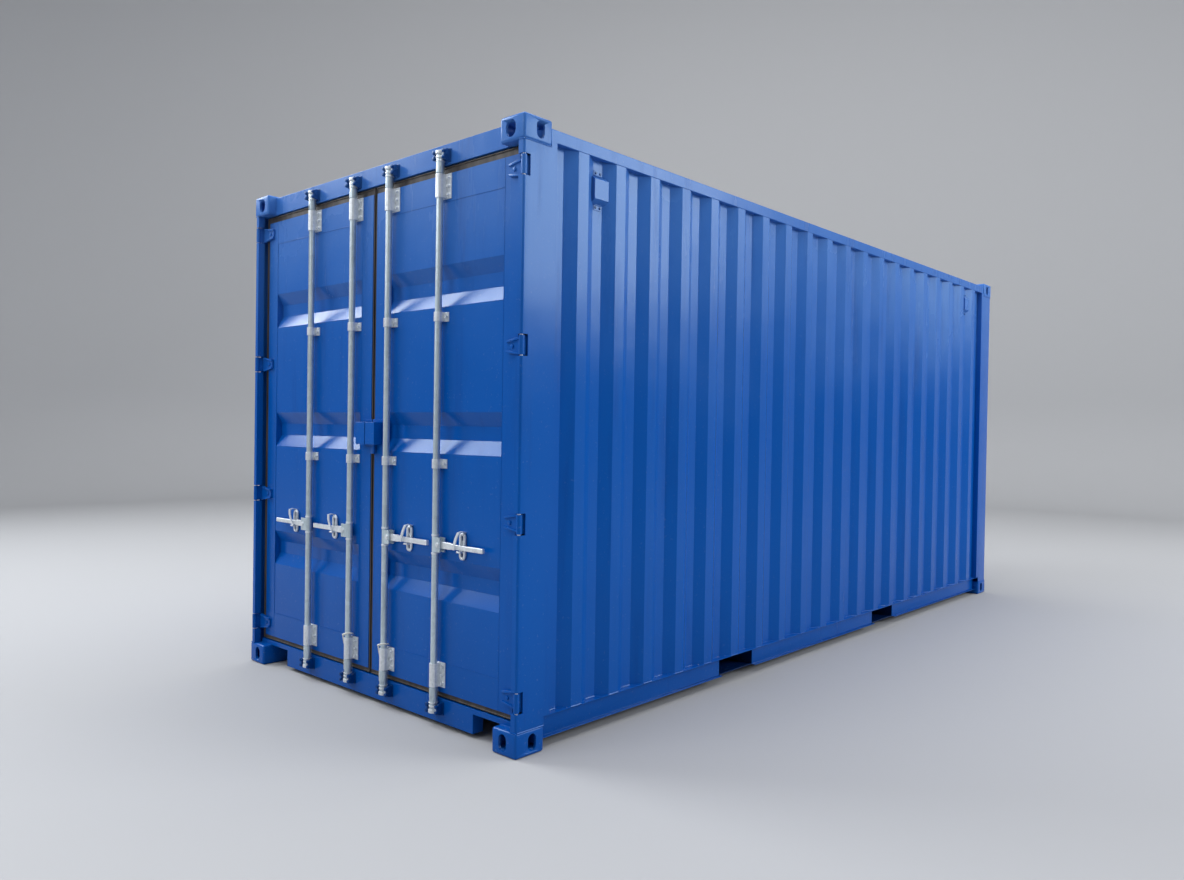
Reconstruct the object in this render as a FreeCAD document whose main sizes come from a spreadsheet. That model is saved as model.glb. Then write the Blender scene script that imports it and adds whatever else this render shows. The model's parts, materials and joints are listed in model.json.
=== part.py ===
"""Twenty-foot high-cube steel shipping container with two hinged door leaves.

+X is the right-hand side seen from the doors, -Y the door end, +Z up.
The origin lies on the ground below the middle of the container.
A "depth" is measured inwards from the plane of the door end fittings.
"""

import FreeCAD, Part
import math
import os
import re

import Sketcher
from FreeCAD import Rotation, Vector

SIZES = {
    # overall
    "length": 6058,
    "width": 2438,
    "height": 2896,
    # corner fittings
    "fitting_long": 178,
    "fitting_wide": 162,
    "fitting_high": 118,
    "fitting_wall": 14,
    "fitting_plate": 28,
    "aperture_from_end": 102,
    "aperture_from_side": 89,
    "slot_long": 124,
    "slot_wide": 64,
    "hole_high": 80,
    "end_hole_wide": 64,
    "side_hole_wide": 51,
    # posts
    "steel_inset": 4,
    "post_plate": 6,
    "rear_post_side": 210,
    "rear_post_front": 36,
    "rear_post_hook": 40,
    "opening_side": 48,
    "channel_deep": 113,
    "channel_plate": 8,
    "channel_step": 2,
    "front_post_side": 220,
    "front_post_end": 150,
    # rails of the side frames and of the front end
    "rail_inset": 8,
    "rail_tube": 60,
    "rail_wall": 4,
    "rail_drop": 32,
    "bottom_rail_low": 46,
    "bottom_rail_high": 160,
    "bottom_rail_wide": 48,
    "bottom_rail_lip": 30,
    # corrugated walls
    "sheet": 2,
    "wall_inset": 10,
    "fold_deep": 36,
    "fold_outer": 72,
    "fold_slope": 68,
    "fold_count": 20,
    "fold_ends": 558,
    "first_fold": 298,
    "front_fold_deep": 45,
    "front_fold_outer": 110,
    "front_fold_slope": 18,
    "front_fold_count": 8,
    "front_fold_ends": 438,
    # roof
    "roof_fold_high": 18,
    "roof_fold_top": 91,
    "roof_fold_slope": 14,
    "roof_fold_count": 26,
    "roof_fold_ends": 833,
    "roof_fold_margin": 90,
    "roof_side_inset": 6,
    "roof_end_inset": 4,
    # underframe
    "floor_low": 152,
    "floor_thick": 28,
    "floor_gap": 3,
    "strip_wide": 150,
    "member_flange": 45,
    "member_wall": 5,
    "fork_first": 1863,
    "fork_spacing": 2050,
    "fork_wide": 360,
    "fork_wall": 4,
    "fork_strap": 6,
    "fork_strap_long": 200,
    # door end beams
    "beam_depth": 53,
    "beam_back": 60,
    "beam_wall": 5,
    "header_drop": 13,
    "sill_low": 22,
    "sill_high": 142,
    "sill_slot_wide": 194,
    "sill_slot_high": 95,
    # door leaves
    "leaf_depth": 57,
    "leaf_thick": 50,
    "leaf_meeting": 18,
    "leaf_hinge_edge": 84,
    "leaf_low": 172,
    "leaf_top_gap": 42,
    "leaf_stile": 100,
    "leaf_head": 136,
    "leaf_foot": 148,
    "leaf_wall": 4,
    "panel_step": 1,
    "recess_drop": 2,
    "recess_margin": 96,
    "recess_flat": 70,
    "recess_slope": 68,
    "gasket_gap": 6,
    "gasket_front": 62,
    "gasket_thick": 38,
    # hinges
    "pin_inset": 16,
    "pin_radius": 7,
    "pin_clearance": 0.3,
    "hinge_first": 251,
    "hinge_last": 230,
    "hinge_high": 88,
    "hinge_gap": 5,
    "knuckle_radius": 13,
    "blade_thick": 10,
    "blade_reach": 128,
    "blade_tip_high": 56,
    "lug_high": 30,
    # locking bars
    "bar_inner": 168,
    "bar_outer": 592,
    "bar_depth": 27,
    "bar_radius": 17,
    "bar_wall": 3,
    "cam_low": 72,
    "cam_cover": 38,
    "cam_long": 75,
    "cam_radius": 20,
    "shank_radius": 21,
    "lobe_reach": 32,
    "lobe_wide": 14,
    "lobe_high": 34,
    "keeper_gap": 6,
    "keeper_thick": 10,
    "keeper_high": 58,
    "keeper_front": 14,
    "keeper_past_cam": 6,
    # guides that carry the bars on the leaves
    "guide_radius": 22,
    "guide_clearance": 0.6,
    "guide_gap": 5,
    "guide_long": 116,
    "guide_low": 202,
    "guide_edge": 5,
    "guide_plate_long": 124,
    "guide_plate_wide": 56,
    "guide_plate_thick": 5,
    "clip_first": 1306,
    "clip_second": 2031,
    "clip_high": 46,
    "clip_wide": 48,
    "clip_radius": 22,
    # handles
    "handle_height": 908,
    "hub_high": 71,
    "hub_gap": 3,
    "hub_front": 9,
    "hub_cheek": 7,
    "pivot_offset": 39,
    "hub_reach": 56,
    "pivot_radius": 6,
    "handle_reach": 362,
    "handle_thick": 16,
    "handle_grip_high": 34,
    "handle_grip_end": 150,
    "handle_tip_high": 24,
    "handle_gap": 5,
    # catches behind the handles
    "catch_start": 150,
    "catch_wide": 64,
    "catch_low": 865,
    "catch_high": 995,
    "catch_plate": 6,
    "catch_shelf": 10,
    "catch_arm": 18,
    "catch_hook_front": 5,
    "catch_hook_thick": 8,
    "catch_hook_low": 926,
    # ropes that tie the open doors back
    "rope_radius": 4,
    "knot_radius": 8,
    # padlock housing over the meeting edges
    "lock_half": 86,
    "lock_gap": 3,
    "lock_low": 1388,
    "lock_high": 1507,
    "lock_front": 5,
    "lock_wall": 5,
    # ventilators
    "vent_wide": 100,
    "vent_drop": 136,
    "vent_long": 140,
    "vent_flange": 27,
    "vent_flange_wide": 56,
    "vent_flange_thick": 3,
    "vent_deep": 30,
    "vent_chamfer": 22,
}

# sizes that follow from others
TIED = {
    "top_rail_high": "(height - rail_drop)",
    "header_top": "(height - header_drop)",
    "leaf_high": "(height - fitting_high - leaf_top_gap)",
    "guide_high": "(leaf_high - guide_edge)",
    "cam_high": "(header_top - cam_cover)",
    "hinge_spacing": "((height - hinge_first - hinge_last) / 3)",
    "recess_middle": "((leaf_low + leaf_foot + leaf_high - leaf_head) / 2 - recess_drop)",
    "recess_spacing": "((leaf_high - leaf_head - leaf_low - leaf_foot - recess_margin) / 3)",
    "vent_high": "(top_rail_high - vent_drop)",
    "vent_low": "(vent_high - vent_long)",
    "fold_pitch": "((length - fold_ends) / fold_count)",
    "fold_inner": "(fold_pitch - fold_outer - 2*fold_slope)",
    "front_fold_pitch": "((width - front_fold_ends) / front_fold_count)",
    "front_fold_inner": "(front_fold_pitch - front_fold_outer - 2*front_fold_slope)",
    "roof_fold_pitch": "((length - roof_fold_ends) / (roof_fold_count - 1))",
}

HINGES = range(4)
CROSS_MEMBER_BAYS = (4, 5, 5)
STATION = {"inner": "bar_inner", "outer": "bar_outer"}

document = FreeCAD.newDocument("container")
sheet = document.addObject("Spreadsheet::Sheet", "Sizes")
for row, (alias, value) in enumerate(SIZES.items(), start=1):
    sheet.set(f"A{row}", alias)
    sheet.set(f"B{row}", str(value))
    sheet.setAlias(f"B{row}", alias)
document.recompute()

nodes = []


# ---------------------------------------------------------------- helpers


def linked(text):
    """The text with tied names written out and every size name pointing at its cell."""

    def spelt(word):
        name = word.group()
        if name in TIED:
            return linked(TIED[name])
        return f"Sizes.{name}" if name in SIZES else name

    return re.sub(r"[a-z_]+", spelt, text)


def bind(thing, prop, text):
    """Tie a property of an object to the sheet."""
    thing.setExpression(prop, linked(text))


def amount(text):
    """The present value of an expression in millimetres."""
    return float(sheet.evalExpression(linked(text)))


def depth(text):
    """Y of a point that lies this far behind the door end plane."""
    return f"(-length/2 + ({text}))"


def from_front(text):
    """Y of a point that lies this far behind the front end plane."""
    return f"(length/2 - ({text}))"


def box(name, x, y, z):
    """Block between a low and a high value on each axis."""
    solid = document.addObject("Part::Box", name)
    for side, axis, (low, high) in zip(("Length", "Width", "Height"), "xyz", (x, y, z)):
        bind(solid, side, f"({high}) - ({low})")
        bind(solid, f"Placement.Base.{axis}", low)
    return solid


def rod(name, axis, first, second, radius, low, high):
    """Round bar along Y or Z through a point given on the two other axes."""
    solid = document.addObject("Part::Cylinder", name)
    bind(solid, "Radius", radius)
    bind(solid, "Height", f"({high}) - ({low})")
    bind(solid, "Placement.Base.x", first)
    if axis == "y":
        solid.Placement.Rotation = Rotation(Vector(1, 0, 0), -90)
        bind(solid, "Placement.Base.y", low)
        bind(solid, "Placement.Base.z", second)
    else:
        bind(solid, "Placement.Base.y", second)
        bind(solid, "Placement.Base.z", low)
    return solid


def outline_sketch(body, name, plane, outline, offset):
    """Closed outline on a base plane of the body, each corner tied to the sheet."""
    sketch = body.newObject("Sketcher::SketchObject", name)
    base = [item for item in body.Origin.OriginFeatures if item.Role == f"{plane}_Plane"][0]
    sketch.AttachmentSupport = [(base, "")]
    sketch.MapMode = "FlatFace"
    bind(sketch, "AttachmentOffset.Base.z", offset)
    corners = [(amount(across), amount(along)) for across, along in outline]
    count = len(corners)
    for index in range(count):
        start = Vector(*corners[index], 0)
        end = Vector(*corners[(index + 1) % count], 0)
        sketch.addGeometry(Part.LineSegment(start, end), False)
    for index in range(count):
        sketch.addConstraint(Sketcher.Constraint("Coincident", index, 2, (index + 1) % count, 1))
    for index in range(count):
        for kind, text, value in zip(("DistanceX", "DistanceY"), outline[index], corners[index]):
            number = sketch.addConstraint(Sketcher.Constraint(kind, -1, 1, index, 1, value))
            bind(sketch, f"Constraints[{number}]", text)
    return sketch


def pad(body, name, plane, outline, low, high):
    """Pad of an outline between two places on the plane's normal axis."""
    offset = f"-({high})" if plane == "XZ" else low
    sketch = outline_sketch(body, f"{name}_outline", plane, outline, offset)
    feature = body.newObject("PartDesign::Pad", name)
    feature.Profile = sketch
    bind(feature, "Length", f"({high}) - ({low})")
    return feature


def prism(name, plane, outline, low, high):
    """Body that holds one padded outline."""
    body = document.addObject("PartDesign::Body", name)
    pad(body, f"{name}_pad", plane, outline, low, high)
    return body


def row_of(body, name, features, axis, count, pitch):
    """Linear pattern of features along one axis of the body."""
    pattern = body.newObject("PartDesign::LinearPattern", name)
    pattern.Originals = features
    direction = [item for item in body.Origin.OriginFeatures if item.Role == f"{axis}_Axis"][0]
    pattern.Direction = (direction, [""])
    bind(pattern, "Occurrences", count)
    bind(pattern, "Length", f"({count} - 1) * {pitch}")
    body.Tip = pattern
    return pattern


def join(name, *pieces):
    """Weld pieces into one solid."""
    solid = document.addObject("Part::MultiFuse", name)
    solid.Shapes = list(pieces)
    solid.Refine = True
    return solid


def cut(name, base, *tools):
    """Take tools away from a base."""
    tool = tools[0]
    if len(tools) > 1:
        tool = document.addObject("Part::MultiFuse", f"{name}_tools")
        tool.Shapes = list(tools)
    solid = document.addObject("Part::Cut", name)
    solid.Base = base
    solid.Tool = tool
    solid.Refine = True
    return solid


def mirrored(name, source):
    """Copy on the other side of the container's long middle plane."""
    copy = document.addObject("Part::Mirroring", name)
    copy.Source = source
    copy.Base = Vector(0, 0, 0)
    copy.Normal = Vector(1, 0, 0)
    return copy


def swapped(name, source):
    """Copy at the other end of the container."""
    copy = document.addObject("Part::Mirroring", name)
    copy.Source = source
    copy.Base = Vector(0, 0, 0)
    copy.Normal = Vector(0, 1, 0)
    return copy


def node(label, *solids):
    """Declare a finished sub-part, several loose solids as one compound."""
    item = solids[0]
    if len(solids) > 1:
        item = document.addObject("Part::Compound", f"{label}_set")
        item.Links = list(solids)
    item.Label = label
    nodes.append(item)
    return item


def tube_beam(name, x, y, z, wall, through):
    """Rectangular hollow section that is open along one axis."""
    spans = {"x": x, "y": y, "z": z}
    inner = {
        axis: span if axis == through else (f"({span[0]}) + {wall}", f"({span[1]}) - {wall}")
        for axis, span in spans.items()
    }
    outside = box(f"{name}_outside", x, y, z)
    inside = box(f"{name}_inside", inner["x"], inner["y"], inner["z"])
    return cut(name, outside, inside)


# ---------------------------------------------------------------- corner fittings


def corner_fitting(name, top):
    """Cast fitting at the right door end corner, hollow with three apertures."""
    side = ("width/2 - fitting_wide", "width/2")
    end = (depth("0"), depth("fitting_long"))
    base = "height - fitting_high" if top else "0"
    rise = (base, f"{base} + fitting_high")
    block = box(f"{name}_block", side, end, rise)
    load_low = "fitting_wall" if top else "fitting_plate"
    load_high = "fitting_plate" if top else "fitting_wall"
    hollow = box(
        f"{name}_hollow",
        (f"{side[0]} + fitting_wall", f"{side[1]} - fitting_wall"),
        (f"{end[0]} + fitting_wall", f"{end[1]} - fitting_wall"),
        (f"{rise[0]} + {load_low}", f"{rise[1]} - {load_high}"),
    )
    across = "(width/2 - aperture_from_side)"
    along = depth("aperture_from_end")
    middle = f"({base} + fitting_high/2)"
    plate = ("height - fitting_plate - 1", "height + 1") if top else ("-1", "fitting_plate + 1")
    slot = stadium(f"{name}_slot", "z", across, along, "slot_wide", "slot_long", plate)
    end_wide = "end_hole_wide" if top else "side_hole_wide"
    end_wall = (depth("-1"), depth("fitting_wall + 1"))
    end_hole = stadium(f"{name}_end_hole", "y", across, middle, end_wide, "hole_high", end_wall)
    side_wall = ("width/2 - fitting_wall - 1", "width/2 + 1")
    side_hole = stadium(f"{name}_side_hole", "x", along, middle, "side_hole_wide", "hole_high", side_wall)
    return cut(name, block, hollow, slot, end_hole, side_hole)


def stadium(name, axis, first, second, wide, tall, span):
    """Round-ended slot tool: wide across, tall along its second axis, through a span."""
    low, high = span
    straight = f"({tall} - {wide})/2"
    first_span = (f"{first} - {wide}/2", f"{first} + {wide}/2")
    second_span = (f"{second} - {straight}", f"{second} + {straight}")
    spans = {
        "z": (first_span, second_span, span),
        "y": (first_span, span, second_span),
        "x": (span, first_span, second_span),
    }[axis]
    parts = [box(f"{name}_middle", *spans)]
    for tag, place in zip(("low", "high"), second_span):
        end = document.addObject("Part::Cylinder", f"{name}_{tag}")
        bind(end, "Radius", f"{wide}/2")
        bind(end, "Height", f"({high}) - ({low})")
        places = {"z": (first, place, low), "y": (first, low, place), "x": (low, first, place)}[axis]
        turn = {"z": (0, 0, 0, 1), "y": (-90, 1, 0, 0), "x": (90, 0, 1, 0)}[axis]
        end.Placement.Rotation = Rotation(Vector(*turn[1:]), turn[0])
        for letter, text in zip("xyz", places):
            bind(end, f"Placement.Base.{letter}", text)
        parts.append(end)
    return join(name, *parts)


def corner_fittings():
    """The eight fittings, two to a node."""
    for level, top in (("bottom", False), ("top", True)):
        right = corner_fitting(f"{level}_fitting", top)
        left = mirrored(f"{level}_fitting_left", right)
        node(f"{level}_fittings_door_end", right, left)
        far_right = swapped(f"{level}_fitting_far", right)
        far_left = mirrored(f"{level}_fitting_far_left", far_right)
        node(f"{level}_fittings_front_end", far_right, far_left)


# ---------------------------------------------------------------- posts


def hinge_height(index):
    return f"(hinge_first + {index} * hinge_spacing)"


def post_notches(name, place, side):
    """Steel taken off a post above its top fitting and below the rail."""
    everywhere = ("width/2 - fitting_wide - 1", "width/2 + 1")
    over = sorted_span(place("-1"), place("fitting_long"))
    beyond = sorted_span(place("fitting_long"), place(f"{side} + steel_inset + 1"))
    above = box(f"{name}_above", everywhere, over, ("height - fitting_high", "top_rail_high"))
    below = box(f"{name}_below", everywhere, beyond, ("fitting_high - 1", "bottom_rail_high"))
    return above, below


def sorted_span(first, second):
    """The two ends of a span with the lower one first."""
    return (first, second) if amount(first) < amount(second) else (second, first)


def rear_post():
    """Door post: J section outside, channel inside, windows for the four hinges."""
    rise = ("fitting_high", "top_rail_high - rail_tube")
    outer = "(width/2 - steel_inset)"
    rear = "(steel_inset + rear_post_side)"
    opening = "(width/2 - opening_side)"
    plates = {
        "side": ((f"{outer} - post_plate", outer), ("steel_inset", rear)),
        "front": ((f"{outer} - rear_post_front", outer), ("steel_inset", "steel_inset + post_plate")),
        "hook": (
            (f"{outer} - rear_post_front", f"{outer} - rear_post_front + post_plate"),
            ("steel_inset", "steel_inset + rear_post_hook"),
        ),
        "return": ((f"{opening} - channel_step", outer), (f"{rear} - post_plate", rear)),
        "web": ((opening, f"{opening} + channel_plate"), (f"{rear} - channel_deep", rear)),
        "flange": ((opening, outer), (f"{rear} - channel_deep", f"{rear} - channel_deep + channel_plate")),
    }
    parts = [
        box(f"rear_post_{name}", x, (depth(y[0]), depth(y[1])), rise) for name, (x, y) in plates.items()
    ]
    cuts = list(post_notches("rear_post", depth, "rear_post_side"))
    pin = "(width/2 - pin_inset)"
    for index in HINGES:
        centre = hinge_height(index)
        low = f"{centre} - hinge_high/2 - hinge_gap"
        high = f"{centre} + hinge_high/2 + hinge_gap"
        window = box(
            f"rear_post_window_{index}",
            (f"{outer} - rear_post_front - 1", "width/2"),
            (depth("0"), depth("steel_inset + rear_post_hook + 1")),
            (low, high),
        )
        cuts.append(window)
        parts.append(
            box(
                f"rear_post_lug_{index}",
                (f"{pin} - knuckle_radius", outer),
                (depth("steel_inset"), depth("pin_inset + knuckle_radius")),
                (f"{low} - lug_high", f"{high} + lug_high"),
            )
        )
        bore = rod(
            f"rear_post_bore_{index}", "z", pin, depth("pin_inset"), "pin_radius + pin_clearance",
            f"{low} - lug_high + post_plate", f"{high} + lug_high + 1",
        )
        cuts.append(bore)
    post = cut("rear_post", join("rear_post_plates", *parts), *cuts)
    node("rear_post_right", post)
    node("rear_post_left", mirrored("rear_post_mirror", post))


def front_post():
    """Open corner section at the front end."""
    rise = ("fitting_high", "top_rail_high - rail_tube")
    outer = "(width/2 - steel_inset)"
    rear = "(steel_inset + front_post_side)"
    inner = f"({outer} - front_post_end)"
    wall_back = "(wall_inset + front_fold_deep + sheet)"
    fold_back = "(width/2 - wall_inset - fold_deep - sheet)"
    plates = {
        "side": ((f"{outer} - post_plate", outer), ("steel_inset", rear)),
        "end": ((inner, outer), ("steel_inset", "steel_inset + post_plate")),
        "return": ((fold_back, outer), (f"{rear} - post_plate", rear)),
        "end_return": ((inner, f"{inner} + post_plate"), ("steel_inset", wall_back)),
    }
    parts = [
        box(f"front_post_{name}", x, (from_front(y[1]), from_front(y[0])), rise)
        for name, (x, y) in plates.items()
    ]
    cuts = post_notches("front_post", from_front, "front_post_side")
    post = cut("front_post", join("front_post_plates", *parts), *cuts)
    node("front_post_right", post)
    node("front_post_left", mirrored("front_post_mirror", post))


def hinge_pins():
    """Pins that stand in the lugs of the rear posts."""
    pins = []
    for index in HINGES:
        centre = hinge_height(index)
        reach = "(hinge_high/2 + hinge_gap + lug_high - post_plate)"
        pin = rod(
            f"hinge_pin_{index}", "z", "width/2 - pin_inset", depth("pin_inset"), "pin_radius",
            f"{centre} - {reach}", f"{centre} + {reach}",
        )
        pins += [pin, mirrored(f"hinge_pin_left_{index}", pin)]
    node("hinge_pins", *pins)


# ---------------------------------------------------------------- beams and rails


def door_header():
    """Hollow beam above the doors, between the top fittings."""
    half = "(width/2 - fitting_wide)"
    header = tube_beam(
        "header", (f"-{half}", half), (depth("beam_depth"), depth("beam_depth + beam_back")),
        ("height - fitting_high", "header_top"), "beam_wall", "x",
    )
    node("door_header", header)


def door_sill():
    """Beam below the doors with a relief slot beside each bottom fitting."""
    half = "(width/2 - fitting_wide)"
    wide = "(width/2 - opening_side)"
    front = (depth("beam_depth"), depth("beam_depth + beam_wall"))
    back_low = f"{depth('beam_depth + beam_back')}"
    back = (back_low, f"{back_low} + beam_wall")
    parts = [
        box("sill_front", (f"-{half}", half), front, ("sill_low", "sill_high")),
        box("sill_front_wide", (f"-{wide}", wide), front, ("fitting_high", "sill_high")),
        box("sill_back", (f"-{half}", half), back, ("sill_low", "floor_low")),
        box("sill_back_wide", (f"-{wide}", wide), back, ("fitting_high", "floor_low")),
        box("sill_top", (f"-{wide}", wide), (front[0], back[1]), ("sill_high - beam_wall", "sill_high")),
    ]
    slots = []
    slot_top = "(sill_low + sill_slot_high)"
    slot_inner = f"({half} - sill_slot_wide)"
    for tag, sign in (("right", ""), ("left", "-")):
        span = (slot_inner, f"{half} + 1") if not sign else (f"-{half} - 1", f"-{slot_inner}")
        slots.append(box(f"sill_slot_{tag}", span, (depth("0"), back[1]), ("0", slot_top)))
        lintel = (
            (f"{slot_inner} - beam_wall", half) if not sign else (f"-{half}", f"-{slot_inner} + beam_wall")
        )
        parts.append(
            box(f"sill_lintel_{tag}", lintel, (front[0], back[1]), (slot_top, f"{slot_top} + beam_wall"))
        )
        jamb = sorted_span(f"{sign}({slot_inner} - beam_wall)", f"{sign}{slot_inner}")
        parts.append(box(f"sill_jamb_{tag}", jamb, (front[0], back[1]), ("sill_low", slot_top)))
    node("door_sill", cut("sill", join("sill_plates", *parts), *slots))


def fork_centres():
    return ("fork_first", "(fork_first + fork_spacing)")


def side_rails():
    """Tube along the top of each side, and below a flange with webs between the fork pockets."""
    run = (depth("fitting_long"), from_front("fitting_long"))
    outer = "(width/2 - rail_inset)"
    top = tube_beam(
        "top_rail", (f"{outer} - rail_tube", outer), run,
        ("top_rail_high - rail_tube", "top_rail_high"), "rail_wall", "y",
    )
    node("top_rail_right", top)
    node("top_rail_left", mirrored("top_rail_mirror", top))
    inner = f"({outer} - bottom_rail_wide)"
    web = f"({inner} + rail_wall)"
    crown = "(floor_low - fork_wall)"
    above = [
        (inner, crown),
        (web, crown),
        (web, "bottom_rail_high - rail_wall"),
        (outer, "bottom_rail_high - rail_wall"),
        (outer, "bottom_rail_high"),
        (inner, "bottom_rail_high"),
    ]
    below = [
        (inner, "bottom_rail_low"),
        (f"{inner} + bottom_rail_lip", "bottom_rail_low"),
        (f"{inner} + bottom_rail_lip", "bottom_rail_low + rail_wall"),
        (web, "bottom_rail_low + rail_wall"),
        (web, crown),
        (inner, crown),
    ]
    parts = [prism("bottom_rail_flange", "XZ", above, *run)]
    first, second = fork_centres()
    spans = (
        (run[0], depth(f"{first} - fork_wide/2")),
        (depth(f"{first} + fork_wide/2"), depth(f"{second} - fork_wide/2")),
        (depth(f"{second} + fork_wide/2"), run[1]),
    )
    for index, span in enumerate(spans):
        parts.append(prism(f"bottom_rail_web_{index}", "XZ", below, *span))
    node("bottom_rail_right", *parts)
    node("bottom_rail_left", *[mirrored(f"{part.Name}_left", part) for part in parts])


def front_rails():
    """Hollow rails above and below the front wall."""
    half = "(width/2 - fitting_wide)"
    run = (f"-{half}", half)
    place = (from_front("rail_inset + rail_tube"), from_front("rail_inset"))
    levels = {
        "top": ("top_rail_high - rail_tube", "top_rail_high"),
        "bottom": ("bottom_rail_low", "bottom_rail_high"),
    }
    for tag, rise in levels.items():
        node(f"front_{tag}_rail", tube_beam(f"front_rail_{tag}", run, place, rise, "rail_wall", "x"))


# ---------------------------------------------------------------- walls and roof


def fold_outline(start, deep, outer, slope, inner, outside, flip):
    """One pitch of a folded sheet; flip swaps the axes for a wall that runs along X."""
    steps = (("0", "1"), (slope, "0"), (f"{slope} + {outer}", "0"), (f"2*{slope} + {outer}", "1"))
    run = [(f"{start} + {along}", f"{outside} - {sunk} * {deep}") for along, sunk in steps]
    run.append((f"{start} + 2*{slope} + {outer} + {inner}", f"{outside} - {deep}"))
    points = run + [(along, f"{across} - sheet") for along, across in reversed(run)]
    return points if flip else [(across, along) for along, across in points]


def flat_outline(start, end, level, flip):
    """Plain strip of sheet between two places along a wall."""
    points = [(start, level), (end, level), (end, f"{level} - sheet"), (start, f"{level} - sheet")]
    return points if flip else [(across, along) for along, across in points]


def side_walls():
    """Long walls of upright folds between the posts."""
    outside = "(width/2 - wall_inset)"
    sunk = f"({outside} - fold_deep)"
    rise = ("bottom_rail_high", "top_rail_high - rail_tube")
    start = depth("first_fold")
    body = document.addObject("PartDesign::Body", "side_wall")
    unit = fold_outline(start, "fold_deep", "fold_outer", "fold_slope", "fold_inner", outside, False)
    fold = pad(body, "side_fold", "XY", unit, *rise)
    row_of(body, "side_folds", [fold], "Y", "fold_count", "fold_pitch")
    rear_edge = depth("steel_inset + rear_post_side")
    front_edge = from_front("steel_inset + front_post_side")
    pad(body, "side_first_flat", "XY", flat_outline(rear_edge, start, sunk, False), *rise)
    last = f"({start} + fold_count * fold_pitch)"
    pad(body, "side_last_flat", "XY", flat_outline(last, front_edge, sunk, False), *rise)
    node("side_wall_right", body)
    node("side_wall_left", mirrored("side_wall_mirror", body))


def front_wall():
    """End wall of deeper folds between the front posts."""
    outside = from_front("wall_inset")
    sunk = f"({outside} - front_fold_deep)"
    rise = ("bottom_rail_high", "top_rail_high - rail_tube")
    reach = "(width/2 - steel_inset - front_post_end)"
    start = f"(-front_fold_count * front_fold_pitch / 2 + front_fold_inner/2)"
    body = document.addObject("PartDesign::Body", "front_wall_sheet")
    unit = fold_outline(
        start, "front_fold_deep", "front_fold_outer", "front_fold_slope", "front_fold_inner", outside, True
    )
    fold = pad(body, "front_fold", "XY", unit, *rise)
    row_of(body, "front_folds", [fold], "X", "front_fold_count", "front_fold_pitch")
    pad(body, "front_first_flat", "XY", flat_outline(f"-{reach}", start, sunk, True), *rise)
    last = f"({start} + front_fold_count * front_fold_pitch)"
    pad(body, "front_last_flat", "XY", flat_outline(last, reach, sunk, True), *rise)
    corner = box(
        "front_wall_corner", ("width/2 - fitting_wide", "width/2"),
        (f"{sunk} - 2*sheet", from_front("0")), ("height - fitting_high", "height"),
    )
    node("front_wall", cut("front_wall_notched", body, corner, mirrored("front_wall_corner_left", corner)))


def roof():
    """Roof sheet with pressed ribs across it, and a plate to each end beam."""
    half = "(width/2 - rail_inset - roof_side_inset)"
    narrow = "(width/2 - fitting_wide)"
    low = "top_rail_high"
    top = f"({low} + sheet)"
    body = document.addObject("PartDesign::Body", "roof_sheet")
    plan = [
        (f"-{narrow}", depth("beam_depth + beam_back")),
        (narrow, depth("beam_depth + beam_back")),
        (narrow, depth("fitting_long")),
        (half, depth("fitting_long")),
        (half, from_front("fitting_long")),
        (narrow, from_front("fitting_long")),
        (narrow, from_front("rail_inset + roof_end_inset")),
        (f"-{narrow}", from_front("rail_inset + roof_end_inset")),
        (f"-{narrow}", from_front("fitting_long")),
        (f"-{half}", from_front("fitting_long")),
        (f"-{half}", depth("fitting_long")),
        (f"-{narrow}", depth("fitting_long")),
    ]
    pad(body, "roof_plate", "XY", plan, low, top)
    span = "(roof_fold_pitch * (roof_fold_count - 1) + roof_fold_top + 2*roof_fold_slope)"
    start = f"(-{span} / 2)"
    reach = f"({half} - roof_fold_margin)"

    def rib(base, inset):
        return [
            (f"{start} + {inset}", base),
            (f"{start} + {inset} + roof_fold_slope", f"{base} + roof_fold_high"),
            (f"{start} - {inset} + roof_fold_slope + roof_fold_top", f"{base} + roof_fold_high"),
            (f"{start} - {inset} + 2*roof_fold_slope + roof_fold_top", base),
        ]

    crest = pad(body, "roof_crest", "YZ", rib(top, "0"), f"-{reach}", reach)
    hollow_sketch = outline_sketch(body, "roof_hollow_outline", "YZ", rib(low, "sheet"), "0")
    hollow = body.newObject("PartDesign::Pocket", "roof_hollow")
    hollow.Profile = hollow_sketch
    hollow.Midplane = True
    bind(hollow, "Length", f"2*({reach} - sheet)")
    row_of(body, "roof_ribs", [crest, hollow], "Y", "roof_fold_count", "roof_fold_pitch")
    node("roof", body)


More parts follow.
